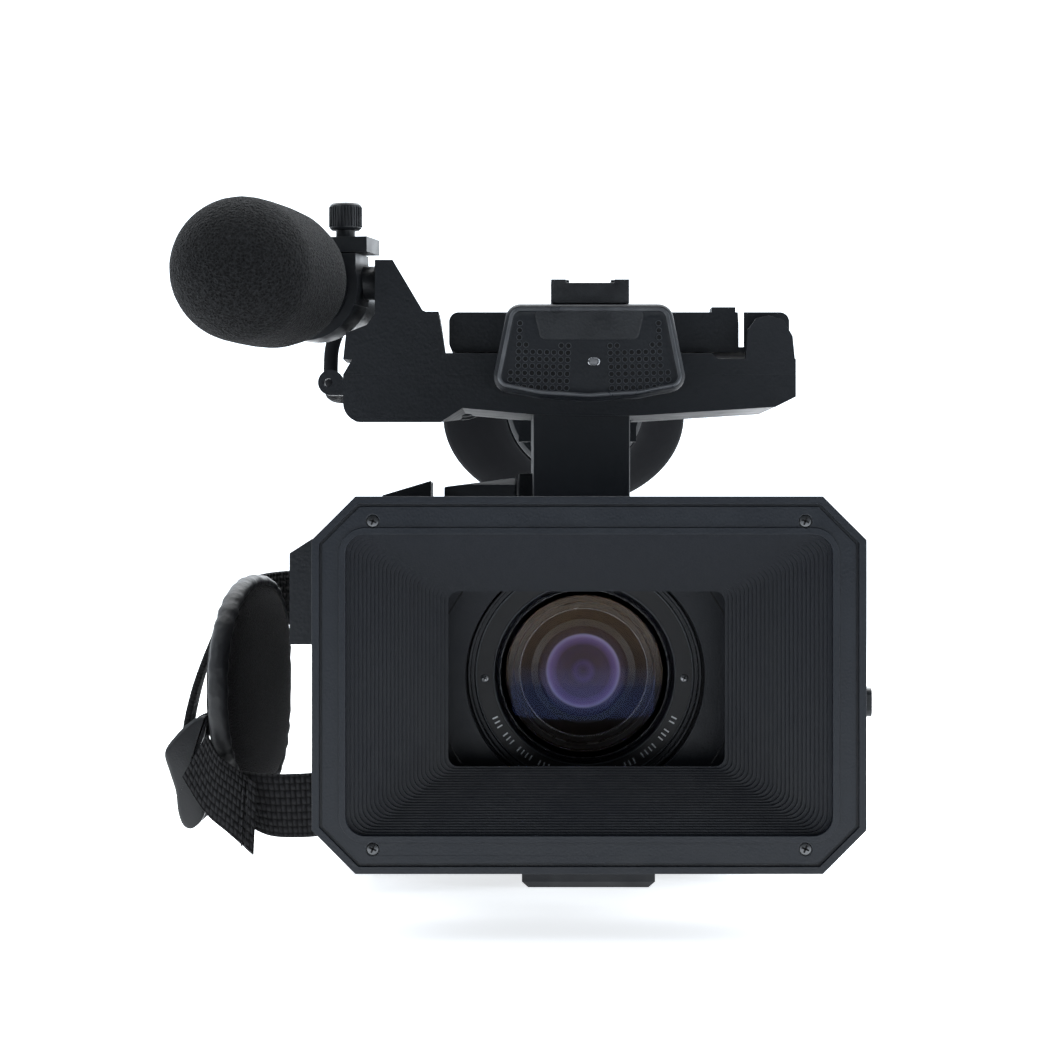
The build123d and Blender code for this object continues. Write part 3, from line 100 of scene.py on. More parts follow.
def make_light(name, place, target, size, power, colour=(1, 1, 1)):
    data = bpy.data.lights.new(name, "AREA")
    data.shape = "RECTANGLE"
    data.size = size[0]
    data.size_y = size[1]
    data.energy = power
    data.color = colour
    light = new_object(name, data)
    light.location = place
    aim = Vector(target) - Vector(place)
    light.rotation_euler = aim.to_track_quat("-Z", "Y").to_euler()


def make_world():
    """A white sweep behind the camcorder and a darker room in front of it."""
    world = bpy.data.worlds.new("studio")
    world.use_nodes = True
    tree = world.node_tree
    direction = add_node(tree, "ShaderNodeTexCoord").outputs["Generated"]
    parts = add_node(tree, "ShaderNodeSeparateXYZ", {0: direction})
    strength = remap(tree, parts.outputs[1], -0.3, 0.75, ROOM_LIGHT, SWEEP_LIGHT)
    feed(tree, tree.nodes["Background"], {"Strength": strength, "Color": (0.86, 0.93, 1.0, 1)})
    bpy.context.scene.world = world
    bpy.context.scene.view_settings.view_transform = "Standard"


def make_studio():
    centre = (0, 0, 0.09)
    make_light("key_left", (-1.5, -1.0, 1.1), centre, (0.9, 1.3), 9, (0.86, 0.93, 1.0))
    make_light("strip_right", (1.7, -0.7, 0.7), centre, (0.4, 1.5), 10, (0.84, 0.92, 1.0))
    make_light("top_soft", (0.0, 0.35, 1.7), centre, (1.8, 1.2), 18)
    make_light("floor_wash", (0.0, 0.9, 1.2), (0, 0.5, 0), (2.4, 0.6), 14)
    make_light("back_soft", (0.5, 1.7, 0.8), centre, (1.4, 0.9), 6)
    make_world()
    floor = mesh_object("floor", [(-30, -12, 0), (30, -12, 0), (30, 60, 0), (-30, 60, 0)], [(0, 1, 2, 3)])
    material, shader, tree = new_material("studio_floor")
    place = object_place(tree)
    along = add_node(tree, "ShaderNodeSeparateXYZ", {0: place}).outputs[1]
    glow = remap(tree, along, FLOOR_FADE[0], FLOOR_FADE[1], 0.0, 1.0)
    glow_colour = tinted(tree, glow, (0.01, 0.01, 0.012), (0.96, 0.98, 1.0))
    feed(tree, shader, {"Base Color": (0.93, 0.94, 0.95, 1), "Roughness": 0.7, "Specular IOR Level": 0.1,
                        "Emission Color": glow_colour, "Emission Strength": FLOOR_LIFT})
    floor.data.materials.append(material)


# ---------- shader groups ----------

def shader_group(name, inputs, outputs):
    """An empty shader group with its named sockets; inputs maps a name to (socket type, value)."""
    tree = bpy.data.node_groups.new(name, "ShaderNodeTree")
    for title, (kind, value) in inputs.items():
        socket = tree.interface.new_socket(title, in_out="INPUT", socket_type=kind)
        if value is not None:
            socket.default_value = value
    for title, kind in outputs.items():
        tree.interface.new_socket(title, in_out="OUTPUT", socket_type=kind)
    return tree, tree.nodes.new("NodeGroupInput"), tree.nodes.new("NodeGroupOutput")


def feed(tree, node, inputs):
    """Link or set a node's inputs, by name or number."""
    for key, value in inputs.items():
        if isinstance(value, bpy.types.NodeSocket):
            tree.links.new(value, node.inputs[key])
        else:
            node.inputs[key].default_value = value


def add_node(tree, kind, inputs=None, **settings):
    node = tree.nodes.new(kind)
    for key, value in settings.items():
        setattr(node, key, value)
    feed(tree, node, inputs or {})
    return node


def maths(tree, operation, first, second=0.0, third=0.0):
    return add_node(tree, "ShaderNodeMath", {0: first, 1: second, 2: third}, operation=operation).outputs[0]


def remap(tree, value, from_low, from_high, to_low, to_high):
    inputs = {0: value, 1: from_low, 2: from_high, 3: to_low, 4: to_high}
    return add_node(tree, "ShaderNodeMapRange", inputs).outputs[0]


def make_grain_group():
    """Spark-eroded mould texture: fine pits over slow unevenness, and a mask of handling wear."""
    inputs = {"Vector": ("NodeSocketVector", None), "Pits per metre": ("NodeSocketFloat", 900.0),
              "Pit depth": ("NodeSocketFloat", 0.5), "Smooth": ("NodeSocketFloat", 0.4),
              "Rough": ("NodeSocketFloat", 0.6)}
    outputs = {"Height": "NodeSocketFloat", "Roughness": "NodeSocketFloat", "Wear": "NodeSocketFloat"}
    tree, source, result = shader_group("mould_grain", inputs, outputs)
    place = source.outputs["Vector"]
    size = source.outputs["Pits per metre"]
    pits = add_node(tree, "ShaderNodeTexVoronoi", {"Vector": place, "Scale": size}, feature="F1")
    fine = add_node(tree, "ShaderNodeTexNoise", {"Vector": place, "Scale": size, "Detail": 3.0})
    slow = add_node(tree, "ShaderNodeTexNoise", {"Vector": place, "Scale": 38.0, "Detail": 4.0})
    smear = add_node(tree, "ShaderNodeTexNoise", {"Vector": place, "Scale": 160.0, "Detail": 5.0})
    bumps = maths(tree, "ADD", pits.outputs["Distance"], fine.outputs[0])
    height = maths(tree, "MULTIPLY", bumps, source.outputs["Pit depth"])
    cloud = maths(tree, "MULTIPLY", slow.outputs[0], smear.outputs[0])
    wear = remap(tree, cloud, 0.12, 0.42, 0.0, 1.0)
    ends = {0: wear, 2: source.outputs["Smooth"], 3: source.outputs["Rough"]}
    rough = add_node(tree, "ShaderNodeMix", ends)
    tree.links.new(height, result.inputs["Height"])
    tree.links.new(rough.outputs[0], result.inputs["Roughness"])
    tree.links.new(wear, result.inputs["Wear"])
    return tree


def make_weave_group():
    """Plain weave on a strip's own UV map: raised warp and weft, with painted shade in the gaps between them.
    """
    inputs = {"Vector": ("NodeSocketVector", None), "Threads across": ("NodeSocketFloat", 24.0),
              "Threads along": ("NodeSocketFloat", 60.0)}
    outputs = {"Height": "NodeSocketFloat", "Gap shade": "NodeSocketFloat"}
    tree, source, result = shader_group("woven_threads", inputs, outputs)
    parts = add_node(tree, "ShaderNodeSeparateXYZ", {0: source.outputs["Vector"]})
    across = maths(tree, "MULTIPLY", parts.outputs[0], source.outputs["Threads across"])
    along = maths(tree, "MULTIPLY", parts.outputs[1], source.outputs["Threads along"])
    warp = maths(tree, "ABSOLUTE", maths(tree, "SINE", maths(tree, "MULTIPLY", across, math.pi)))
    weft = maths(tree, "ABSOLUTE", maths(tree, "SINE", maths(tree, "MULTIPLY", along, math.pi)))
    shift = maths(tree, "MODULO", maths(tree, "FLOOR", across), 2.0)
    turn = maths(tree, "MODULO", maths(tree, "ADD", maths(tree, "FLOOR", along), shift), 2.0)
    over = add_node(tree, "ShaderNodeMix", {0: turn, 2: warp, 3: weft})
    both = maths(tree, "MULTIPLY", warp, weft)
    raised = maths(tree, "MULTIPLY", over.outputs[0], 0.6)
    height = maths(tree, "ADD", raised, maths(tree, "MULTIPLY", both, 0.4))
    tree.links.new(height, result.inputs["Height"])
    tree.links.new(remap(tree, both, 0.05, 0.45, 1.0, 0.0), result.inputs["Gap shade"])
    return tree


# ---------- materials ----------

def new_material(name):
    material = bpy.data.materials.new(name)
    material.use_nodes = True
    tree = material.node_tree
    return material, tree.nodes["Principled BSDF"], tree


def object_place(tree):
    """A point's place in its own object, in metres."""
    return add_node(tree, "ShaderNodeTexCoord").outputs["Object"]


GRAIN = make_grain_group()
WEAVE = make_weave_group()


def tinted(tree, mask, first, second):
    mix = add_node(tree, "ShaderNodeMix", {0: mask}, data_type="RGBA")
    mix.inputs[6].default_value = (*first, 1)
    mix.inputs[7].default_value = (*second, 1)
    return mix.outputs[2]


def moulded(name, colour, worn, smooth, rough, pits=900.0, depth=0.5, bump=0.00006, metallic=0.0, coat=0.0,
            shine=0.4):
    """A grained or satin finish: plastic, rubber or anodised metal, by its values."""
    material, shader, tree = new_material(name)
    place = object_place(tree)
    wanted = {"Vector": place, "Pits per metre": pits, "Pit depth": depth, "Smooth": smooth, "Rough": rough}
    grain = add_node(tree, "ShaderNodeGroup", wanted, node_tree=GRAIN)
    heights = {"Height": grain.outputs["Height"], "Distance": bump, "Strength": 0.8}
    relief = add_node(tree, "ShaderNodeBump", heights)
    feed(tree, shader, {
        "Base Color": tinted(tree, grain.outputs["Wear"], colour, worn),
        "Roughness": grain.outputs["Roughness"], "Normal": relief.outputs[0], "Metallic": metallic,
        "Coat Weight": coat, "Coat Roughness": 0.25, "Specular IOR Level": shine,
    })
    return material


def glass(name, tint, film):
    """Coated optical glass; film is the coating's thickness in nanometres."""
    material, shader, tree = new_material(name)
    place = object_place(tree)
    dust = add_node(tree, "ShaderNodeTexNoise", {"Vector": place, "Scale": 700.0, "Detail": 2.0})
    feed(tree, shader, {
        "Roughness": remap(tree, dust.outputs[0], 0.4, 0.8, 0.0, 0.006), "Base Color": (*tint, 1),
        "Transmission Weight": 1.0, "IOR": 1.52, "Thin Film Thickness": film, "Thin Film IOR": 1.33,
    })
    return material


# Painted reflections: the coloured rings that the inner lenses' coatings reflect, set as base colours by
# distance from the lens axis.
PAINTED_REFLECTION_TINTS = [
    (0.0, (0.003, 0.003, 0.010)), (0.16, (0.050, 0.035, 0.160)), (0.26, (0.008, 0.008, 0.024)),
    (0.50, (0.024, 0.016, 0.056)), (0.63, (0.240, 0.160, 0.480)), (0.69, (0.520, 0.460, 0.800)),
    (0.73, (0.016, 0.016, 0.040)), (1.0, (0.008, 0.012, 0.016)),
]


def coating(name, radius):
    """A curved glass seen through others, with painted reflections: rings of reflection colour, one of them
    light purple-white, painted into its base colour about the lens axis; its thin film is real.
    """
    material, shader, tree = new_material(name)
    place = object_place(tree)
    flat = add_node(tree, "ShaderNodeVectorMath", {0: place, 1: (1, 0, 1)}, operation="MULTIPLY").outputs[0]
    away = add_node(tree, "ShaderNodeVectorMath", {0: flat, 1: (0, 0, AXIS_Z)}, operation="DISTANCE")
    share = maths(tree, "DIVIDE", away.outputs["Value"], radius)
    ramp = add_node(tree, "ShaderNodeValToRGB", {0: share})
    stops = ramp.color_ramp.elements
    for place_in_ramp, tint in PAINTED_REFLECTION_TINTS[1:-1]:
        stops.new(place_in_ramp).color = (*tint, 1)
    stops[0].color = (*PAINTED_REFLECTION_TINTS[0][1], 1)
    stops[len(stops) - 1].color = (*PAINTED_REFLECTION_TINTS[-1][1], 1)
    feed(tree, shader, {"Base Color": ramp.outputs[0], "Roughness": 0.35, "Specular IOR Level": 0.3,
                        "Thin Film Thickness": 380.0, "Thin Film IOR": 1.45})
    return material


def woven(name, colour, gap_shade, across, along, bump=0.0004):
    material, shader, tree = new_material(name)
    place = add_node(tree, "ShaderNodeUVMap").outputs[0]
    wanted = {"Vector": place, "Threads across": across, "Threads along": along}
    weave = add_node(tree, "ShaderNodeGroup", wanted, node_tree=WEAVE)
    relief = add_node(tree, "ShaderNodeBump", {"Height": weave.outputs["Height"], "Distance": bump})
    # Darker where the threads part: painted shade in the gaps.
    feed(tree, shader, {"Base Color": tinted(tree, weave.outputs["Gap shade"], colour, gap_shade),
                        "Normal": relief.outputs[0], "Roughness": 0.78, "Specular IOR Level": 0.3})
    return material


def foam(name, colour, pore_shade, cells, bump):
    """Open-cell foam or pile: lighter struts, with the pores between them painted deep dark as shade."""
    material, shader, tree = new_material(name)
    place = object_place(tree)
    cell = add_node(tree, "ShaderNodeTexVoronoi", {"Vector": place, "Scale": cells}, feature="F1")
    fine = add_node(tree, "ShaderNodeTexNoise", {"Vector": place, "Scale": cells * 1.7, "Detail": 3.0})
    height = maths(tree, "ADD", cell.outputs["Distance"], fine.outputs[0])
    mask = remap(tree, height, 0.6, 1.25, 0.0, 1.0)
    relief = add_node(tree, "ShaderNodeBump", {"Height": height, "Distance": bump})
    # Darker where the height is low, as in the bump: painted shade in the pores.
    feed(tree, shader, {"Base Color": tinted(tree, mask, pore_shade, colour), "Normal": relief.outputs[0],
                        "Roughness": 0.95, "Specular IOR Level": 0.25})
    return material


SHELL = moulded("charcoal_shell", (0.0065, 0.0085, 0.0120), (0.0085, 0.0105, 0.0145), 0.40, 0.55,
                bump=0.00011)
# A lighter copy of the charcoal for rims and raised edges: painted highlight where the edges catch the light.
SHELL_EDGE_HIGHLIGHT = moulded("charcoal_painted_highlight_edge", (0.045, 0.05, 0.058), (0.06, 0.065, 0.072), 0.3, 0.45)
HOOD = moulded("hood_satin", (0.0075, 0.0100, 0.0150), (0.0095, 0.0125, 0.018), 0.34, 0.46, pits=1300.0,
               bump=0.00006)
BAFFLE = moulded("baffle_black", (0.0050, 0.0070, 0.0115), (0.0065, 0.0085, 0.014), 0.40, 0.52,
                 pits=1500.0, bump=0.00004)
ANODISED = moulded("lens_anodised", (0.018, 0.019, 0.022), (0.026, 0.027, 0.030), 0.28, 0.42, metallic=0.4,
                   pits=1600.0, bump=0.00003)
CELL = moulded("cell_matt_black", (0.008, 0.008, 0.010), (0.014, 0.014, 0.016), 0.38, 0.5, pits=1600.0,
               bump=0.00002)
RING = moulded("ring_rubber", (0.012, 0.012, 0.013), (0.02, 0.02, 0.021), 0.5, 0.7)
RUBBER = moulded("soft_rubber", (0.005, 0.0055, 0.007), (0.008, 0.0085, 0.010), 0.7, 0.85, pits=600.0,
                 shine=0.1)
KEY = moulded("key_satin", (0.012, 0.0135, 0.016), (0.018, 0.0195, 0.022), 0.3, 0.45, pits=1400.0,
              bump=0.00003)
# A lighter grey for the up-facing top cover: painted highlight where it faces the light from above.
TOP_COVER_HIGHLIGHT_GREY = moulded("top_cover_painted_highlight_grey", (0.055, 0.060, 0.068), (0.065, 0.070, 0.078), 0.34, 0.48, pits=1400.0,
               bump=0.00004)
BLACK_METAL = moulded("black_metal", (0.03, 0.031, 0.034), (0.055, 0.057, 0.06), 0.28, 0.45, metallic=0.7,
                      pits=1500.0, bump=0.00003)
STEEL = moulded("satin_steel", (0.20, 0.205, 0.215), (0.30, 0.305, 0.31), 0.25, 0.42, metallic=1.0,
                pits=1500.0, bump=0.00002)
BRIGHT = moulded("bright_edge", (0.45, 0.46, 0.48), (0.55, 0.56, 0.58), 0.15, 0.3, metallic=1.0, bump=0.00001)
BOARD = moulded("circuit_board", (0.01, 0.05, 0.025), (0.015, 0.06, 0.03), 0.35, 0.5)
RED = moulded("record_red", (0.28, 0.012, 0.012), (0.34, 0.02, 0.02), 0.25, 0.4, coat=0.3)
MARK = moulded("printed_mark", (0.80, 0.82, 0.84), (0.86, 0.88, 0.90), 0.4, 0.5)
LEATHER = moulded("strap_leather", (0.006, 0.0065, 0.008), (0.009, 0.0095, 0.011), 0.4, 0.55, pits=420.0,
                  depth=0.8, bump=0.00025)
BATTERY = moulded("battery_case", (0.016, 0.017, 0.019), (0.022, 0.023, 0.025), 0.42, 0.58, pits=800.0)
WINDSCREEN = foam("windscreen_foam", (0.016, 0.0165, 0.018), (0.0012, 0.0012, 0.0014), 1100.0, 0.0016)
FLEECE = foam("pad_fleece", (0.008, 0.0075, 0.009), (0.002, 0.002, 0.0025), 1500.0, 0.0009)
WEBBING = woven("strap_webbing", (0.017, 0.017, 0.019), (0.0015, 0.0015, 0.002), 14.0, 1.0, 0.0009)
MESH_CLOTH = woven("pad_mesh_cloth", (0.014, 0.014, 0.016), (0.002, 0.002, 0.0025), 60.0, 26.0, 0.0008)
DARK_STEEL = moulded("screw_dark_steel", (0.10, 0.103, 0.108), (0.16, 0.163, 0.168), 0.25, 0.4, metallic=1.0,
                     pits=1500.0, bump=0.00002)
# Near-black: painted shade in screw recesses, vents, perforations and chamfer lines; on the seams it is the
# dark joint.
PIT = moulded("deep_shadow", (0.002, 0.002, 0.0025), (0.003, 0.003, 0.0035), 0.8, 0.95, bump=0.00001)
# Lighter, part-metallic rings for the cell steps: painted highlights on their edges, with some real gloss.
CELL_EDGE = moulded("cell_ring_edge", (0.10, 0.10, 0.105), (0.14, 0.14, 0.145), 0.2, 0.35, metallic=0.6,
                    pits=1600.0, bump=0.00001)
PANEL = moulded("speckled_panel", (0.012, 0.0135, 0.016), (0.03, 0.032, 0.036), 0.4, 0.6, pits=1100.0,
                bump=0.00016)
# A lighter, half-metallic edge line: painted highlight, with some real gloss from its metallic shader.
LIGHT_EDGE = moulded("half_metal_painted_highlight_edge", (0.10, 0.105, 0.115), (0.16, 0.165, 0.175), 0.25, 0.4, metallic=0.5,
                     bump=0.00002, shine=0.6)
THREAD = moulded("strap_thread", (0.02, 0.02, 0.022), (0.03, 0.03, 0.032), 0.6, 0.8, bump=0.00005)
BUCKLE = moulded("buckle_plastic", (0.012, 0.0125, 0.014), (0.02, 0.021, 0.023), 0.3, 0.45, pits=1400.0)
LAMP = moulded("lamp_lens", (0.22, 0.22, 0.23), (0.26, 0.26, 0.27), 0.1, 0.2, bump=0.0, coat=0.6)
COATED_GLASS_PAINTED_REFLECTIONS = coating("inner_glass_painted_reflection_rings", 0.0136)
FRONT_GLASS = glass("front_glass", (0.97, 0.98, 1.0), 115.0)
INNER_GLASS = glass("inner_glass", (0.90, 0.88, 1.0), 140.0)
EYE_GLASS = glass("eye_glass", (0.92, 0.95, 1.0), 300.0)
SCREEN = moulded("screen_panel", (0.004, 0.004, 0.005), (0.005, 0.005, 0.006), 0.05, 0.09, bump=0.0, coat=1.0)


# ---------- making pieces ----------

def mesh_object(name, points, faces):
    data = bpy.data.meshes.new(name)
    data.from_pydata([tuple(point) for point in points], [], faces)
    data.validate()
    return new_object(name, data)


def from_bmesh(name, bm):
    bmesh.ops.recalc_face_normals(bm, faces=bm.faces)
    data = bpy.data.meshes.new(name)
    bm.to_mesh(data)
    bm.free()
    return new_object(name, data)


def settle(thing):
    """Replace an object by the plain mesh that its modifiers make."""
    depsgraph = bpy.context.evaluated_depsgraph_get()
    depsgraph.update()
    data = bpy.data.meshes.new_from_object(thing.evaluated_get(depsgraph))
    thing.modifiers.clear()
    old = thing.data
    thing.data = data
    bpy.data.meshes.remove(old)


def smooth(thing, angle):
    data = thing.data
    data.polygons.foreach_set("use_smooth", [True] * len(data.polygons))
    data.set_sharp_from_angle(angle=math.radians(angle))


def keep(thing, body, material=None, angle=None):
    """Give a finished piece its material, slot and body; angle is where its shading turns sharp."""
    if angle is not None:
        smooth(thing, angle)
    if material is not None:
        thing.data.materials.clear()
        thing.data.materials.append(material)
    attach(thing, body)
    return thing


def finish_node(node, material, width):
    """A CAD node's finish: its material, and edges softened by a width in millimetres."""
    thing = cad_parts[node]
    if not thing.material_slots:
        thing.data.materials.append(material)
    for entry in thing.material_slots:
        entry.link = "OBJECT"
        entry.material = material
    if not width:
        return
    weld = thing.modifiers.new("weld", "WELD")
    weld.merge_threshold = 2e-6
    bevel = thing.modifiers.new("bevel", "BEVEL")
    bevel.width = width * MM
    bevel.segments = 2
    bevel.limit_method = "ANGLE"
    bevel.angle_limit = math.radians(38.0)
    bevel.miter_outer = "MITER_ARC"
    bevel.use_clamp_overlap = True
    bevel.harden_normals = True


NODE_FINISHES = {
    "hood_shell": (HOOD, 0.8), "hood_face_frame": (HOOD, 0.35), "hood_baffle": (BAFFLE, 0.0),
    "hood_mask": (BAFFLE, 0.2), "shutter_upper": (BAFFLE, 0.2), "shutter_lower": (BAFFLE, 0.2),
    "shutter_lever": (KEY, 0.4), "hood_lock_knob": (KEY, 0.3),
    "lens_barrel": (ANODISED, 0.3), "front_cell": (CELL, 0.15), "front_element": (FRONT_GLASS, 0.0),
    "zoom_cell": (CELL, 0.2), "zoom_element": (INNER_GLASS, 0.0), "iris_unit": (CELL, 0.2),
    "image_sensor": (BLACK_METAL, 0.3), "focus_ring": (RING, 0.3), "zoom_ring": (RING, 0.3),
    "iris_ring": (RING, 0.3),
    "body_left_shell": (SHELL, 0.5), "body_right_shell": (SHELL, 0.5), "top_cover": (TOP_COVER_HIGHLIGHT_GREY, 0.8),
    "rear_cover": (SHELL, 0.8), "base_plate": (BLACK_METAL, 0.4), "main_board": (BOARD, 0.1),
    "user_button": (KEY, 0.4), "nd_switch": (KEY, 0.4), "menu_dial": (KEY, 0.3),
    "grip_shell": (SHELL, 0.6), "grip_rocker": (KEY, 0.6), "grip_rec_button": (RED, 0.6),
    "card_door": (SHELL, 0.4),
    "handle_lower": (SHELL, 1.0), "handle_upper": (SHELL, 0.8), "handle_rocker": (KEY, 0.5),
    "handle_rec_button": (RED, 0.5), "shoe_rail": (BLACK_METAL, 0.25),
    "unit_lower_shell": (SHELL, 0.9), "unit_upper_shell": (SHELL, 0.9), "xlr_jacks": (BLACK_METAL, 0.4),
    "lcd_case": (SHELL, 0.7), "lcd_screen": (SCREEN, 0.1),
    "mic_body": (BLACK_METAL, 0.3), "mic_isolator": (RUBBER, 0.3), "clamp_base": (KEY, 0.4),
    "clamp_lid": (KEY, 0.5), "clamp_knob": (KEY, 0.3), "mic_plug": (BLACK_METAL, 0.4),
    "evf_bracket": (SHELL, 0.6), "evf_tube": (SHELL, 0.5), "evf_lens": (EYE_GLASS, 0.2),
    "diopter_dial": (KEY, 0.2), "battery_pack": (BATTERY, 0.6),
}


def finish_nodes():
    for node, (material, width) in NODE_FINISHES.items():
        finish_node(node, material, width)


# ---------- microphone lead ----------

LEAD_ROUTE = [mm(*spot) for spot in [
    (-72.33, 3.69, 189.8), (-69.4, 17.5, 189.8), (-72.5, 30.0, 189.3), (-79.5, 38.0, 186.0),
    (-84.3, 41.0, 178.0), (-84.8, 41.5, 167.8), (-84.8, 48.3, 160.9), (-84.6, 59.0, 160.6),
    (-84.0, 70.5, 160.5), (-77.0, 77.7, 160.3), (-67.0, 77.7, 159.9), (-60.0, 70.7, 159.6),
    (-60.0, 60.0, 159.3), (-60.0, 46.0, 159.0),
]]
LEAD_DIAMETER = 0.005


def make_lead():
    curve = bpy.data.curves.new("mic_lead", "CURVE")
    curve.dimensions = "3D"
    spline = curve.splines.new("NURBS")
    spline.points.add(len(LEAD_ROUTE) - 1)
    for point, place in zip(spline.points, LEAD_ROUTE):
        point.co = (*place, 1)
    spline.order_u = 3
    spline.use_endpoint_u = True
    spline.resolution_u = 16
    curve.bevel_depth = LEAD_DIAMETER / 2
    curve.bevel_resolution = 6
    curve.use_fill_caps = True
    lead = new_object("mic_lead", curve)
    curve.materials.append(RUBBER)
    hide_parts("mic_cable")
    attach(lead, BODY)


# ---------- shared shapes ----------

def loft(name, rings, caps=True, extent=(1.0, 1.0)):
    """Skin rings of points; UV u runs across each ring and v along the rings, scaled by extent."""
    bm = bmesh.new()
    uv = bm.loops.layers.uv.new("UVMap")
    rows = [[bm.verts.new(point) for point in ring] for ring in rings]
    steps = len(rows[0])
    for a in range(len(rows) - 1):
        for b in range(steps):
            c = (b + 1) % steps
            face = bm.faces.new((rows[a][b], rows[a][c], rows[a + 1][c], rows[a + 1][b]))
            spots = ((b, a), (b + 1, a), (b + 1, a + 1), (b, a + 1))
            for corner, (u, v) in zip(face.loops, spots):
                corner[uv].uv = (u / steps * extent[0], v / (len(rows) - 1) * extent[1])
    if caps:
        bm.faces.new(rows[0][::-1])
        bm.faces.new(rows[-1])
    return from_bmesh(name, bm)


def full_turn(count):
    """Evenly spaced angles round a circle."""
    return [2 * math.pi * step / count for step in range(count)]


def circle_points(centre, radius, axis, count=64):
    """Points round a circle about an axis through its centre."""
    axis = Vector(axis).normalized()
    side = axis.orthogonal().normalized()
    up = axis.cross(side)
    ring = []
    for angle in full_turn(count):
        ring.append(Vector(centre) + side * (radius * math.cos(angle)) + up * (radius * math.sin(angle)))
    return ring


def turned(name, centre, axis, profile, count=64, caps=True):
    """A turned piece: profile lists (distance along the axis, radius) in millimetres."""
    axis = Vector(axis).normalized()
    base = Vector(centre)
    rings = [circle_points(base + axis * (along * MM), radius * MM, axis, count) for along, radius in profile]
    return loft(name, rings, caps=caps)


def eased(points, steps=8):
    """A smooth line through a few points."""
    points = [Vector(point) for point in points]
    ends = [points[0] * 2 - points[1]] + points + [points[-1] * 2 - points[-2]]
    line = []
    for a, b, c, d in zip(ends, ends[1:], ends[2:], ends[3:]):
        for step in range(steps):
            t = step / steps
            line.append(0.5 * ((2 * b) + (c - a) * t + (2 * a - 5 * b + 4 * c - d) * t ** 2
                               + (3 * b - a - 3 * c + d) * t ** 3))
    return line + [points[-1]]


def make_repeat_tree():
    """Geometry nodes: put a part on every point, turned by the point's own angles."""
    tree = bpy.data.node_groups.new("repeat_part", "GeometryNodeTree")
    for title, kind in (("Places", "Geometry"), ("Part", "Object"), ("Finish", "Material")):
        tree.interface.new_socket(title, in_out="INPUT", socket_type="NodeSocket" + kind)
    tree.interface.new_socket("Result", in_out="OUTPUT", socket_type="NodeSocketGeometry")
    source = tree.nodes.new("NodeGroupInput")
    result = tree.nodes.new("NodeGroupOutput")
    part = add_node(tree, "GeometryNodeObjectInfo", {"Object": source.outputs["Part"]})
    turn = add_node(tree, "GeometryNodeInputNamedAttribute", {"Name": "turn"}, data_type="FLOAT_VECTOR")
    spots = add_node(tree, "GeometryNodeMeshToPoints", {"Mesh": source.outputs["Places"]})
    copies = add_node(tree, "GeometryNodeInstanceOnPoints",
                      {"Points": spots.outputs[0], "Instance": part.outputs["Geometry"],
                       "Rotation": turn.outputs["Attribute"]})
    real = add_node(tree, "GeometryNodeRealizeInstances", {0: copies.outputs[0]})
    finish = add_node(tree, "GeometryNodeSetMaterial",
                      {"Geometry": real.outputs[0], "Material": source.outputs["Finish"]})
    tree.links.new(finish.outputs[0], result.inputs["Result"])
    return tree


REPEAT = make_repeat_tree()


def repeat_part(name, part, places, material, body):
    """Copies of a small part at (point, angles) places, as one plain mesh that rides on a body."""
    data = bpy.data.meshes.new(name)
    data.from_pydata([tuple(point) for point, _ in places], [], [])
    turns = data.attributes.new("turn", "FLOAT_VECTOR", "POINT")
    turns.data.foreach_set("vector", [value for _, angles in places for value in angles])
    holder = new_object(name, data)
    modifier = holder.modifiers.new("repeat", "NODES")
    modifier.node_group = REPEAT
    values = {"Part": part, "Finish": material}
    for item in REPEAT.interface.items_tree:
        if item.item_type == "SOCKET" and item.in_out == "INPUT" and item.name in values:
            modifier[item.identifier] = values[item.name]
    settle(holder)
    bpy.data.objects.remove(part)
    return keep(holder, body, angle=40)


def bevelled_block(name, size, bevel, segments=2):
    """A small block with rounded edges, centred on the origin; size and bevel in millimetres."""
    bm = bmesh.new()
    bmesh.ops.create_cube(bm, size=1.0)
    bmesh.ops.scale(bm, vec=[value * MM for value in size], verts=bm.verts)
    bmesh.ops.bevel(bm, geom=bm.edges, offset=bevel * MM, segments=segments, affect="EDGES", profile=0.5)
    return from_bmesh(name, bm)


def placed_block(name, centre, size, bevel, material, body):
    block = bevelled_block(name, size, bevel, 3)
    block.data.transform(Matrix.Translation(mm(*centre)))
    keep(block, body, material, angle=40)


def plate_outline(points, radius, steps=6):
    """Round the corners of a flat outline of (x, z) points, in millimetres."""
    outline = []
    count = len(points)
    for index in range(count):
        here = Vector(points[index])
        before = (Vector(points[index - 1]) - here).normalized()
        after = (Vector(points[(index + 1) % count]) - here).normalized()
        half = before.angle(after) / 2
        reach = radius / math.tan(half)
        centre = here + (before + after).normalized() * (radius / math.sin(half))
        start = here + before * reach - centre
        end = here + after * reach - centre
        for step in range(steps + 1):
            blend = start.lerp(end, step / steps).normalized() * radius
            outline.append(centre + blend)
    return outline


def shrink(outline, amount):
    """Move an outline inward by an amount."""
    count = len(outline)
    area = sum(outline[k - 1].x * outline[k].y - outline[k].x * outline[k - 1].y for k in range(count))
    side = 1 if area > 0 else -1
    result = []
    for index in range(count):
        along = outline[(index + 1) % count] - outline[index - 1]
        inward = Vector((-along.y, along.x)).normalized() * side
        result.append(outline[index] + inward * amount)
    return result


def front_plate(name, outline, steps, caps=True):
    """A plate facing -Y built from inward steps: (how far in, y), in millimetres."""
    rings = []
    for inset, y in steps:
        ring = shrink(outline, inset) if inset else outline
        rings.append([mm(point.x, y, point.y) for point in ring])
    return loft(name, rings, caps=caps)


# ---------- screws ----------

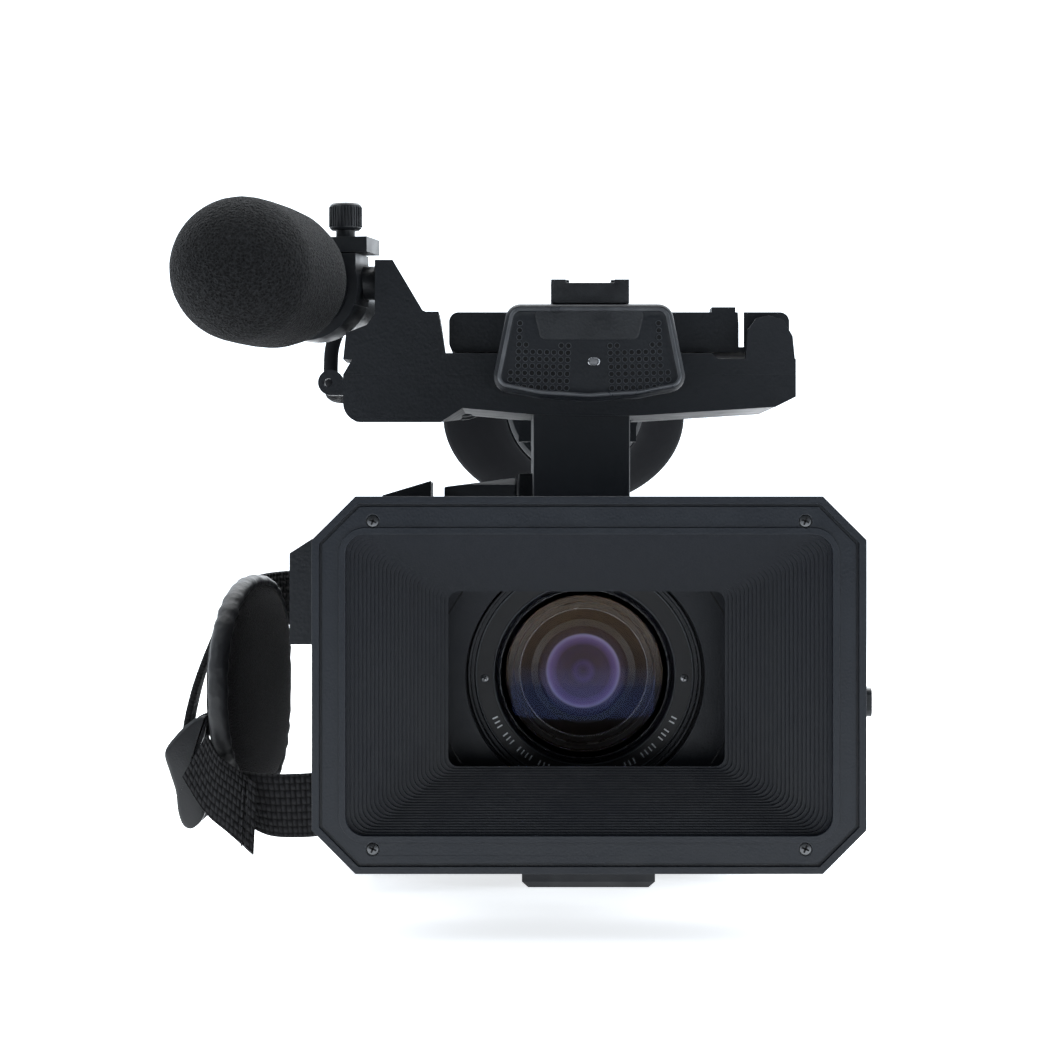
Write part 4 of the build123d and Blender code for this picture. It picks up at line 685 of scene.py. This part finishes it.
def domed_screw(name, radius):
    """A domed screw head facing -Y, at the origin; radius in millimetres."""
    dome = [(-0.9, radius), (0.0, radius), (0.28, radius * 0.9), (0.42, radius * 0.62), (0.44, 0.01)]
    return turned(name, ORIGIN, FRONT, dome, 28)


def cross_recess(name, radius):
    """Two bars of painted shade that stand for the dark cross-shaped recess in a screw head."""
    bm = bmesh.new()
    for angle in (0, math.pi / 2):
        turn = Matrix.Rotation(angle + 0.4, 4, "Y")
        made = bmesh.ops.create_cube(bm, size=1.0)["verts"]
        bmesh.ops.scale(bm, vec=mm(radius * 1.25, 0.12, radius * 0.3), verts=made)
        bmesh.ops.transform(bm, matrix=Matrix.Translation(mm(0, -0.40, 0)) @ turn, verts=made)
    return from_bmesh(name, bm)


HOOD_SCREW_R = 1.85
HOOD_SCREW_HEAD_R = 1.75


def make_hood_screws():
    near = low("hood_screws")
    far = high("hood_screws")
    inset = HOOD_SCREW_R * MM
    places = [((x, near.y + 0.4 * MM, z), UPRIGHT)
              for x in (near.x + inset, far.x - inset) for z in (near.z + inset, far.z - inset)]
    screw = domed_screw("screw", HOOD_SCREW_HEAD_R)
    heads = repeat_part("hood_screw_heads", screw, places, DARK_STEEL, "hood")
    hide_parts("hood_screws")
    repeat_part("hood_screw_recesses", cross_recess("recess", HOOD_SCREW_HEAD_R), places, PIT, "hood")
    # The collar round each screw head is lighter charcoal: a painted highlight.
    collar = [(-0.6, 1.8), (0.12, 1.8), (0.12, 2.3), (-0.6, 2.3)]
    ring = turned("collar", ORIGIN, FRONT, collar, 28, False)
    repeat_part("hood_screw_collars", ring, places, SHELL_EDGE_HIGHLIGHT, "hood")


# ---------- lens front ----------

def ring_band(name, centre, radii, material, body, height=0.3, count=128):
    """A thin raised ring on a face that looks to the front."""
    inner, outer = radii
    lift = height / 2
    profile = [(0, inner), (lift, inner), (height, inner + lift)]
    profile += [(height, outer - lift), (lift, outer), (0, outer)]
    band = turned(name, centre, FRONT, profile, count, False)
    return keep(band, body, material, angle=50)


NAME_RING_R = (26.5, 32.2)
MARK_RING_R = 29.3
MARK_STEPS = 46
MARK_ARC = (206, 128)
THREAD_R = 33.6
THREAD_TEETH = 150


def make_lens_front():
    centre = Vector((0, low("front_cell").y, AXIS_Z))
    # The name ring's two edges are lighter charcoal: painted highlights.
    ring_band("name_ring_inner_edge", centre, (NAME_RING_R[0], NAME_RING_R[0] + 0.5), SHELL_EDGE_HIGHLIGHT, BODY, 0.25)
    ring_band("name_ring_outer_edge", centre, (NAME_RING_R[1] - 0.5, NAME_RING_R[1]), SHELL_EDGE_HIGHLIGHT, BODY, 0.25)
    mark = bevelled_block("mark", (0.42, 0.06, 1.7), 0.02, 1)
    places = []
    for step in range(MARK_STEPS):
        angle = math.radians(MARK_ARC[0] + step * MARK_ARC[1] / (MARK_STEPS - 1))
        if step % 9 in (3, 7):
            continue
        x = MARK_RING_R * math.cos(angle)
        z = MARK_RING_R * math.sin(angle)
        places.append((centre + at(x, -0.02, z), (0, math.pi / 2 - angle, 0)))
    repeat_part("name_ring_marks", mark, places, MARK, BODY)
    screws = [(centre + at(x, -0.05, -1.2), UPRIGHT) for x in (-29.4, 29.4)]
    repeat_part("name_ring_screws", domed_screw("small_screw", 1.2), screws, STEEL, BODY)
    repeat_part("name_ring_screw_slots", cross_recess("small_recess", 1.2), screws, PIT, BODY)
    thread = bevelled_block("thread", (0.5, 2.4, 0.55), 0.12, 1)
    lip_y = low("lens_barrel").y
    places = []
    for angle in full_turn(THREAD_TEETH):
        x = THREAD_R * math.cos(angle)
        z = THREAD_R * math.sin(angle)
        places.append((Vector((x * MM, lip_y + 1.6 * MM, AXIS_Z + z * MM)), (0, -angle, 0)))
    repeat_part("filter_thread_band", thread, places, ANODISED, BODY)
    # Thin rings on the cell steps, lighter than the cell black: painted highlights on the steps' edges, the
    # brightest in bright metal.
    deep = [("cell_ring_wide", 24.4, 25.0, 3.6, CELL_EDGE), ("cell_ring_bright", 22.2, 22.8, 7.0, BRIGHT),
            ("cell_ring_middle", 19.8, 20.1, 10.0, CELL_EDGE), ("cell_ring_inner", 17.5, 17.9, 13.0, BRIGHT)]
    for name, inner, outer, depth, material in deep:
        ring_band(name, centre + at(0, depth, 0), (inner, outer), material, BODY, 0.35)


CELL_STEPS = [(-1.2, 26.3), (-3.2, 25.6), (-3.4, 24.9), (-6.8, 24.2), (-7.0, 22.9), (-9.8, 21.6),
              (-10.0, 20.2), (-12.8, 19.2), (-13.0, 17.9), (-15.5, 17.2), (-17.0, 15.5), (-18.5, 13.9),
              (-19.0, 12.0)]
DOME_TOP = -19.5
DOME_RISE = 3.2
DOME_R = 13.6


def make_lens_inside():
    """Stepped black cells behind the front glass, and the small coated glass within them, with its reflection
    rings painted into its colour.
    """
    centre = Vector((0, low("front_cell").y, AXIS_Z))
    cone = turned("cell_steps", centre, FRONT, CELL_STEPS, 96, False)
    keep(cone, BODY, CELL, angle=25)
    dome = []
    for step in range(12):
        angle = step / 11 * math.pi / 2
        depth = DOME_TOP - DOME_RISE * (1 - math.cos(angle))
        dome.append((depth, DOME_R * math.sin(angle) + 0.01))
    inner = turned("second_glass", centre, FRONT, dome, 72, False)
    keep(inner, BODY, COATED_GLASS_PAINTED_REFLECTIONS, angle=80)


# ---------- microphone ----------

MIC_CENTRE = at(-84.8, -55.0, 189.8)
MIC_YAW = math.radians(12.0)
MIC_FORWARD = Vector((-math.sin(MIC_YAW), -math.cos(MIC_YAW), 0))
FOAM_TIP = 74.0
FOAM_TIP_R = 21.4
FOAM_TIP_LENGTH = 22.0
FOAM_PROFILE = [(13.0, 12.0), (13.3, 13.4), (15.5, 14.6), (20.0, 16.3), (26.0, 18.3), (33.0, 20.1),
                (42.0, 21.3), (52.0, 21.6), (64.0, 21.6), (FOAM_TIP, FOAM_TIP_R)]


def make_windscreen():
    profile = list(FOAM_PROFILE)
    for step in range(1, 19):
        angle = step / 18 * math.pi / 2
        along = FOAM_TIP + FOAM_TIP_LENGTH * math.sin(angle)
        profile.append((along, FOAM_TIP_R * math.cos(angle) ** 0.92 + 0.01))
    foam_cover = turned("foam_windscreen", MIC_CENTRE, MIC_FORWARD, profile, 96)
    for vertex in foam_cover.data.vertices:
        place = vertex.co * 900
        wobble = math.sin(place.x * 1.3) * math.sin(place.y * 0.9) * math.sin(place.z * 1.1)
        out = (vertex.co - MIC_CENTRE).normalized()
        vertex.co += out * (0.00016 * wobble)
    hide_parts("windscreen")
    keep(foam_cover, BODY, WINDSCREEN, angle=80)


def make_knob_ribs():
    centre = middle("clamp_knob")
    z = high("clamp_knob").z - 4.3 * MM
    radius = 5.0 * MM
    rib = bevelled_block("rib", (0.5, 0.35, 6.4), 0.12, 1)
    places = []
    for angle in full_turn(34):
        spot = Vector((centre.x + radius * math.cos(angle), centre.y + radius * math.sin(angle), z))
        places.append((spot, (0, 0, angle)))
    repeat_part("clamp_knob_ribs", rib, places, KEY, "clamp_screw")


# ---------- microphone grille and lamp ----------

GRILLE_TOP = 182.3
GRILLE_CORNERS = [(-22.6, GRILLE_TOP), (27.0, GRILLE_TOP), (32.2, 156.6), (17.0, 153.6), (2.1, 152.7),
                  (-12.8, 153.6),
                  (-27.9, 156.6)]
GRILLE_MIDDLE_X = 2.1
GRILLE_CORNER_R = 4.6
HOLE_PITCH = 2.15
HOLE_R = 0.72


def in_grille(x, z):
    """Whether a perforation at (x, z) clears the grille's sloping sides, corners and name panel."""
    away = abs(x - GRILLE_MIDDLE_X)
    side = 20.2 + (GRILLE_TOP - z) * 0.19
    if away > side or z > 178.4:
        return False
    if away > side - 2.2 and (z > 176.5 or z < 158.0):
        return False
    return z < 169.6 or away > 19.2


def make_grille():
    outline = plate_outline(GRILLE_CORNERS, GRILLE_CORNER_R, 7)
    front = low("mic_grille").y / MM
    back = high("mic_grille").y / MM
    steps = [(0, back), (0, front + 2.0), (0.35, front + 0.8), (1.0, front + 0.15), (1.5, front),
             (2.1, front + 0.1), (2.5, front + 0.6), (3.0, front + 0.75), (4.0, front + 0.62)]
    cap = front_plate("grille_cap", outline, steps)
    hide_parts("mic_grille")
    keep(cap, BODY, SHELL, angle=30)
    face = front + 0.62
    middle_x = GRILLE_MIDDLE_X
    panel = plate_outline([(middle_x - 17.0, 180.8), (middle_x + 17.0, 180.8), (middle_x + 14.8, 171.4),
                           (middle_x - 14.8, 171.4)], 2.0, 5)
    name_panel = front_plate("blank_panel", panel, [(0, face + 0.6), (0, face - 0.15), (0.3, face - 0.32),
                                                     (0.6, face - 0.34)])
    keep(name_panel, BODY, PANEL, angle=30)
    # The line round the grille's edge is much lighter than the shell: a painted highlight.
    edge_line = front_plate("grille_edge_line", outline, [(1.15, front + 0.05), (1.5, front - 0.15),
                                                          (1.95, front - 0.12), (2.3, front + 0.3)], False)
    keep(edge_line, BODY, LIGHT_EDGE, angle=40)
    # Each perforation is a flat disc of painted shade standing for a hole, ringed by a lighter rim of painted
    # highlight.
    cup = turned("perforation", ORIGIN, FRONT, [(0.16, 0.01), (0.16, HOLE_R)], 16, False)
    lip = [(0.02, HOLE_R + 0.2), (0.18, HOLE_R + 0.14), (0.18, HOLE_R - 0.02), (0.02, HOLE_R - 0.02)]
    rim = turned("perforation_rim", ORIGIN, FRONT, lip, 16, False)
    places = []
    for column in range(3, 13):
        for row in range(11):
            for side in (-1, 1):
                x = middle_x + side * (column * HOLE_PITCH - 0.1 * (row - 5))
                z = 156.4 + row * HOLE_PITCH + 0.06 * column
                if in_grille(x, z):
                    places.append((at(x, face, z), UPRIGHT))
    repeat_part("grille_perforations", cup, places, PIT, BODY)
    repeat_part("grille_perforation_rims", rim, places, SHELL_EDGE_HIGHLIGHT, BODY)
    lamp = plate_outline([(1.7, 163.4), (5.3, 163.4), (5.3, 165.9), (1.7, 165.9)], 1.2, 6)
    chrome = front_plate("lamp_ring", lamp, [(0, face + 0.3), (0, face - 0.3), (0.15, face - 0.42),
                                             (0.45, face - 0.42), (0.55, face - 0.2)])
    keep(chrome, BODY, BRIGHT, angle=30)
    lens = front_plate("lamp_lens", shrink(lamp, 0.5), [(0, face), (0, face - 0.25), (0.2, face - 0.34)])
    keep(lens, BODY, LAMP, angle=40)


# ---------- hand strap ----------

PAD_CENTRE = at(-109.3, 6.0, 61.0)
PAD_YAW = math.radians(-9.5)
PAD_TURN = Matrix.Rotation(PAD_YAW, 4, "Z")
PAD_HALF_LENGTH = 43.0
PAD_HALF_HEIGHT = 34.5
PAD_SQUARENESS = 2.35
RIM_STEPS = 120
STITCH_SCALE = 0.925


def pad_point(out, along, up):
    """A point of the pad from its own thickness, length and height, in millimetres."""
    bow = 1.5 * (up / 36.5) ** 2
    return PAD_CENTRE + PAD_TURN @ at(out + bow, along, up)


def squared(value):
    """Push a sine or cosine outwards, to square off an oval a little."""
    return math.copysign(abs(value) ** (2 / PAD_SQUARENESS), value)


def pad_rim(scale, steps=88):
    """The pad's rounded outline as (along, up) pairs."""
    half_length = PAD_HALF_LENGTH * scale
    half_height = PAD_HALF_HEIGHT * scale
    turns = full_turn(steps)
    return [(half_length * squared(math.cos(turn)), half_height * squared(math.sin(turn))) for turn in turns]


def pad_face(name, side, bulge):
    """One crowned face of the pad: side 1 faces the hand, side -1 faces out."""
    rings = []
    for step in range(15):
        scale = max(math.sin(step / 14 * math.pi / 2), 0.001)
        crown = bulge * (1 - scale ** 4) ** 0.7
        tuck = 0.5 * math.exp(-((scale - 0.93) / 0.03) ** 2)
        rings.append([pad_point(side * (2.2 + crown - tuck), y, z) for y, z in pad_rim(scale)])
    return loft(name, rings, caps=False)


def make_pad():
    fleece = pad_face("pad_fleece_face", 1, 4.4)
    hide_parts("strap_pad")
    keep(fleece, BODY, FLEECE, angle=80)
    outer = pad_face("pad_outer_face", -1, 5.6)
    keep(outer, BODY, MESH_CLOTH, angle=80)
    rim = pad_rim(1.0, RIM_STEPS)
    rings = []
    for index, (y, z) in enumerate(rim):
        before = Vector(rim[index - 1])
        after = Vector(rim[(index + 1) % len(rim)])
        along = (after - before).normalized()
        normal = Vector((along.y, -along.x))
        ring = []
        for angle in full_turn(14):
            pucker = 1 + 0.05 * math.sin(index * 1.7) + 0.03 * math.sin(index * 4.1)
            out = 3.3 * math.sin(angle) * pucker
            away = 2.5 * math.cos(angle) * pucker
            ring.append(pad_point(out, y + normal.x * away, z + normal.y * away))
        rings.append(ring)
    rings.append(rings[0])
    binding = loft("pad_binding", rings, caps=False)
    bm = bmesh.new()
    bm.from_mesh(binding.data)
    bmesh.ops.remove_doubles(bm, verts=bm.verts, dist=1e-6)
    bmesh.ops.recalc_face_normals(bm, faces=bm.faces)
    bm.to_mesh(binding.data)
    bm.free()
    keep(binding, BODY, LEATHER, angle=80)
    stitch = bevelled_block("stitch", (0.5, 1.9, 0.5), 0.2, 1)
    places = []
    for index, (y, z) in enumerate(rim):
        ahead = Vector(rim[(index + 1) % RIM_STEPS]) - Vector(rim[index - 1])
        tilt = math.atan2(ahead.y, ahead.x)
        for side in (-1, 1):
            point = pad_point(side * 3.25, y * STITCH_SCALE, z * STITCH_SCALE)
            places.append((point, (tilt, 0, PAD_YAW)))
    repeat_part("pad_stitches", stitch, places, THREAD, BODY)


STRIP_SECTION = [
    (-1, 0.4), (-0.96, 1), (-0.6, 1), (-0.2, 1), (0.2, 1), (0.6, 1), (0.96, 1), (1, 0.4),
    (1, -0.4), (0.96, -1), (0.6, -1), (0.2, -1), (-0.2, -1), (-0.6, -1), (-0.96, -1), (-1, -0.4),
]


def strip(name, centres, widths, thickness, steps=8):
    """A strip of webbing along a smooth line; widths are the vectors across it, in millimetres."""
    line = eased(centres, steps)
    across = eased(widths, steps)
    rings = []
    length = 0.0
    for index, (point, wide) in enumerate(zip(line, across)):
        ahead = line[min(index + 1, len(line) - 1)] - line[max(index - 1, 0)]
        if index:
            length += (point - line[index - 1]).length
        normal = ahead.cross(wide).normalized()
        half = wide / 2
        ring = [point + half * share + normal * (thickness / 2 * lift) for share, lift in STRIP_SECTION]
        rings.append([mm(*spot) for spot in ring])
    return loft(name, rings, extent=(2.0, length / 1.6))


STRIPS = {
    "rear_strip": ([(-116.0, 8, 84), (-114.4, 24, 85.5), (-110.4, 44, 88), (-101, 58, 89), (-91, 70, 89),
                    (-84.8, 79, 89)],
                   [(0, 0, 11), (0, 0, 14), (0, 0, 18), (0, 0, 19), (0, 0, 19), (0, 0, 19)]),
    "front_strip": ([(-79.6, -39, 25.5), (-90, -38.5, 24.6), (-101, -37, 24.8), (-111, -35, 27.5),
                     (-120, -33, 32)],
                    [(0, 0, 20.5), (-1, 0, 20.5), (-3, 0, 20), (-8, 1, 18.5), (-11, 2, 16.5)]),
    "through_strip": ([(-125.2, -22, 20), (-127.4, -22, 34), (-127.4, -21, 48), (-125.2, -19, 60),
                       (-122.4, -15, 70), (-119.2, -10, 79)],
                      [(0, 19, 0), (0, 19, 0), (0, 19, 0), (0, 19, 1), (0, 19, 2), (0, 18, 2)]),
    "tail_strip": ([(-123.5, -39, 40.5), (-118, -40.6, 32), (-111.5, -41.2, 26.5), (-104.4, -40.4, 20.6)],
                   [(8, 0, 14), (4.5, 0, 18.5), (2.5, 1, 20.5), (1.0, 2, 22.5)]),
}


def make_strips():
    for name, (centres, widths) in STRIPS.items():
        piece = strip("webbing_" + name, centres, widths, 2.0)
        if name == "rear_strip":
            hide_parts("strap_webbing")
        keep(piece, BODY, WEBBING, angle=60)
    fold = strip("webbing_tail_fold", [(-106.6, -42.2, 22.6), (-104.0, -41.8, 20.4)],
                 [(1.2, 2, 22.0), (1.0, 2, 22.5)], 3.0, steps=4)
    keep(fold, BODY, WEBBING, angle=60)
    stitch = bevelled_block("tail_stitch", (0.45, 0.4, 1.7), 0.15, 1)
    places = []
    for row in range(3):
        for step in range(8):
            z = 12.6 + step * 2.35
            x = -108.2 + row * 1.6 + 0.05 * step
            places.append((at(x, -42.6, z), (0, math.radians(6), 0)))
    repeat_part("tail_stitches", stitch, places, THREAD, BODY)


BUCKLE_FRONT = [(-119.9, 53.3), (-124.9, 51.7), (-130.4, 46.6), (-133.9, 41.2), (-132.4, 35.0),
                (-130.4, 28.6), (-129.6, 22.0), (-127.9, 17.6), (-125.0, 16.6), (-121.8, 19.6),
                (-120.9, 24.4), (-123.2, 33.0), (-123.8, 39.6), (-121.4, 46.2)]


def buckle_bar(name, y0, y1):
    """One cheek of the ladder buckle: its outline runs in X and Z."""
    points = eased([(x, 0, z) for x, z in BUCKLE_FRONT + BUCKLE_FRONT[:1]], 5)[:-1]
    outline = [Vector((point.x, point.z)) for point in points]
    return front_plate(name, outline, [(0, y1), (0, y0 + 0.8), (0.5, y0 + 0.2), (1.1, y0)])


def make_buckle():
    front_y = low("strap_buckle").y / MM
    back_y = high("strap_buckle").y / MM
    first = buckle_bar("buckle_front_cheek", front_y, front_y + 3.6)
    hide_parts("strap_buckle")
    keep(first, BODY, BUCKLE, angle=35)
    second = buckle_bar("buckle_rear_cheek", back_y - 3.6, back_y)
    keep(second, BODY, BUCKLE, angle=35)
    for number, (x, z, radius) in enumerate([(-126.4, 48.6, 1.7), (-130.6, 40.0, 1.6), (-125.6, 20.6, 1.8)]):
        rod = turned(f"buckle_rung_{number}", mm(x, front_y + 2, z), (0, 1, 0),
                     [(0, radius * 0.8), (0.4, radius), (back_y - front_y - 4.4, radius),
                      (back_y - front_y - 4, radius * 0.8)], 20)
        keep(rod, BODY, BUCKLE, angle=40)


# ---------- eyepiece ----------

def make_eyecup():
    """A soft cup that widens from a round neck into a broad oval lip."""
    start = low("eyecup").y
    back = high("eyecup").y
    centre = middle("eyecup")
    half_w = (high("eyecup").x - low("eyecup").x) / 2
    half_h = (high("eyecup").z - low("eyecup").z) / 2
    neck_x = 2.0 * MM
    neck_z = 160.0 * MM
    rings = []
    outer = [(0.0, 0.0), (0.10, 0.02), (0.22, 0.10), (0.38, 0.28), (0.55, 0.52), (0.72, 0.76), (0.88, 0.93),
             (0.97, 0.99), (1.0, 0.985), (1.0, 0.965), (0.94, 0.93), (0.80, 0.82), (0.62, 0.60), (0.45, 0.36),
             (0.3, 0.16), (0.2, 0.05)]
    for index, (along, spread) in enumerate(outer):
        y = start + (back - start) * along
        inside = index > 9
        neck = (19.2 if inside else 26.0) * MM
        ring = []
        for angle in full_turn(96):
            c = math.cos(angle)
            q = math.sin(angle)
            wide_x = centre.x + half_w * c
            wide_z = centre.z + half_h * q
            ring.append((neck_x + neck * c + (wide_x - neck_x - neck * c) * spread, y,
                         neck_z + neck * q + (wide_z - neck_z - neck * q) * spread))
        rings.append(ring)
    cup = loft("rubber_eyecup", rings, caps=False)
    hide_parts("eyecup")
    keep(cup, "viewfinder", RUBBER, angle=60)
    collar = turned("eyecup_collar", (neck_x, start, neck_z), (0, 1, 0),
                    [(0, 19.2), (0, 26.6), (0.5, 27.0), (4.0, 27.0), (4.6, 26.6)], 96, False)
    keep(collar, "viewfinder", RUBBER, angle=40)


# ---------- rings and dials ----------

def ring_ribs(name, node, body, count, size, material, axis="Y", inset=1.2, length=3.4):
    """Moulded ribs round a turned control, along its axis."""
    centre = middle(node)
    span = high(node) - low(node)
    places = []
    if axis == "Y":
        radius = span.x / 2
        length = span.y / MM - 2 * inset
        rib = bevelled_block("rib", (size, length, size), size * 0.3, 1)
        for angle in full_turn(count):
            spot = centre + Vector((radius * math.cos(angle), 0, radius * math.sin(angle)))
            places.append((spot, (0, -angle, 0)))
    else:
        radius = span.y / 2
        rib = bevelled_block("rib", (length, size, size), size * 0.3, 1)
        x = high(node).x - (0.6 + length / 2) * MM
        for angle in full_turn(count):
            spot = Vector((x, centre.y + radius * math.cos(angle), centre.z + radius * math.sin(angle)))
            places.append((spot, (angle, 0, 0)))
    repeat_part(name, rib, places, material, body)


def make_ribs():
    ring_ribs("focus_ring_ribs", "focus_ring", "focus", 96, 1.3, RING)
    ring_ribs("zoom_ring_ribs", "zoom_ring", "zoom", 84, 1.3, RING)
    ring_ribs("iris_ring_ribs", "iris_ring", "iris", 110, 0.9, RING)
    ring_ribs("menu_dial_ribs", "menu_dial", "menu_wheel", 40, 0.7, KEY, "X")
    ring_ribs("diopter_ribs", "diopter_dial", "diopter", 26, 0.5, KEY, "X", length=1.8)


# ---------- small fittings ----------

FACE_LEFT = (0, 0, math.pi / 2)
FACE_RIGHT = (0, 0, -math.pi / 2)
FACE_REAR = (0, 0, math.pi)


def screws_at(name, radius, places, body=BODY):
    """Cross-head screws at (point, angles) places; unturned ones face the front."""
    repeat_part(name, domed_screw("screw_part", radius), places, DARK_STEEL, body)
    repeat_part(name + "_recess", cross_recess("recess_part", radius), places, PIT, body)


def make_side_fittings():
    """Vents, keys, socket covers, seams and screws on the body's sides and back."""
    side = high("body_left_shell").x / MM
    # The vents are thin strips of painted shade on the side, not cut slots.
    vent = bevelled_block("vent_part", (0.3, 1.3, 20), 0.1, 1)
    places = [(at(side + 0.02, 82 + 2.6 * step, 94), UPRIGHT) for step in range(9)]
    repeat_part("side_vents", vent, places, PIT, BODY)
    key = bevelled_block("key_part", (1.8, 7.5, 4.0), 0.8, 3)
    places = [(at(side + 0.6, 8 + 12 * step, 26), UPRIGHT) for step in range(6)]
    repeat_part("side_keys", key, places, KEY, BODY)
    for number, z in enumerate((34, 58)):
        placed_block(f"socket_cover_{number}", (side + 0.5, 96, z), (2.2, 17, 20), 0.9, RUBBER, BODY)
    placed_block("side_seam_low", (side - 0.02, 38, 38), (0.4, 140, 0.5), 0.1, PIT, BODY)
    placed_block("side_seam_front", (side - 0.02, -22, 78), (0.4, 0.5, 78), 0.1, PIT, BODY)
    spots = [(side - 0.3, y, z) for y, z in ((-28, 110), (-28, 20), (74, 110), (106, 18))]
    screws_at("side_screws", 1.5, [(at(*spot), FACE_LEFT) for spot in spots])
    back = high("battery_pack").y / MM
    ridge = bevelled_block("ridge_part", (30, 0.9, 1.3), 0.35, 2)
    places = [(at(10, back, 84 + 2.8 * step), UPRIGHT) for step in range(4)]
    repeat_part("battery_grip_ridges", ridge, places, BATTERY, "battery")
    placed_block("battery_blank_panel", (10, back - 0.05, 52), (46, 0.5, 34), 0.2, PANEL, "battery")
    rear = high("rear_cover").y / MM
    spots = [(x, rear - 4.3, z) for x in (-38, 54) for z in (20, 110)]
    screws_at("rear_screws", 1.5, [(at(*spot), FACE_REAR) for spot in spots])
    door = bevelled_block("door_ridge_part", (14, 0.8, 0.9), 0.3, 2)
    places = [(at(-64, high("card_door").y / MM, 80 + 2.2 * step), UPRIGHT) for step in range(4)]
    repeat_part("card_door_ridges", door, places, KEY, "card_cover")
    placed_block("strap_anchor", (-84.2, 80.5, 89), (4.6, 5.5, 25), 1.4, KEY, BODY)
    handle = high("handle_upper")
    pad = bevelled_block("pad_ridge_part", (22, 1.0, 0.8), 0.3, 2)
    top = handle.z / MM
    places = [(at(2, 72 + 2.6 * step, top), UPRIGHT) for step in range(9)]
    repeat_part("handle_grip_ridges", pad, places, RUBBER, BODY)
    for number, x in enumerate((-14.0, 18.0)):
        turn = FACE_LEFT if x > 0 else FACE_RIGHT
        spots = [(x - 0.25 * (1 if x > 0 else -1), y, 168) for y in (18, 88)]
        screws_at(f"handle_screws_{number}", 1.4, [(at(*spot), turn) for spot in spots])


def make_mask_lines():
    """Chamfer lines on the plate behind the gate's four corners, drawn as thin strips of painted shade."""
    plate_y = low("hood_mask").y / MM
    for side in (-1, 1):
        for up in (-1, 1):
            block = bevelled_block("mask_line", (0.5, 0.2, 15), 0.05, 1)
            turn = Matrix.Rotation(math.radians(-32 * side * up), 4, "Y")
            spot = Matrix.Translation(mm(38.6 * side, plate_y - 0.05, AXIS_Z / MM + 20 * up))
            block.data.transform(spot @ turn)
            block.name = f"mask_line_{'left' if side > 0 else 'right'}_{'upper' if up > 0 else 'lower'}"
            keep(block, "hood", PIT)


make_camera()
make_studio()
make_lead()
finish_nodes()
make_hood_screws()
make_lens_front()
make_lens_inside()
make_windscreen()
make_knob_ribs()
make_grille()
make_pad()
make_strips()
make_buckle()
make_eyecup()
make_ribs()
make_side_fittings()
make_mask_lines()
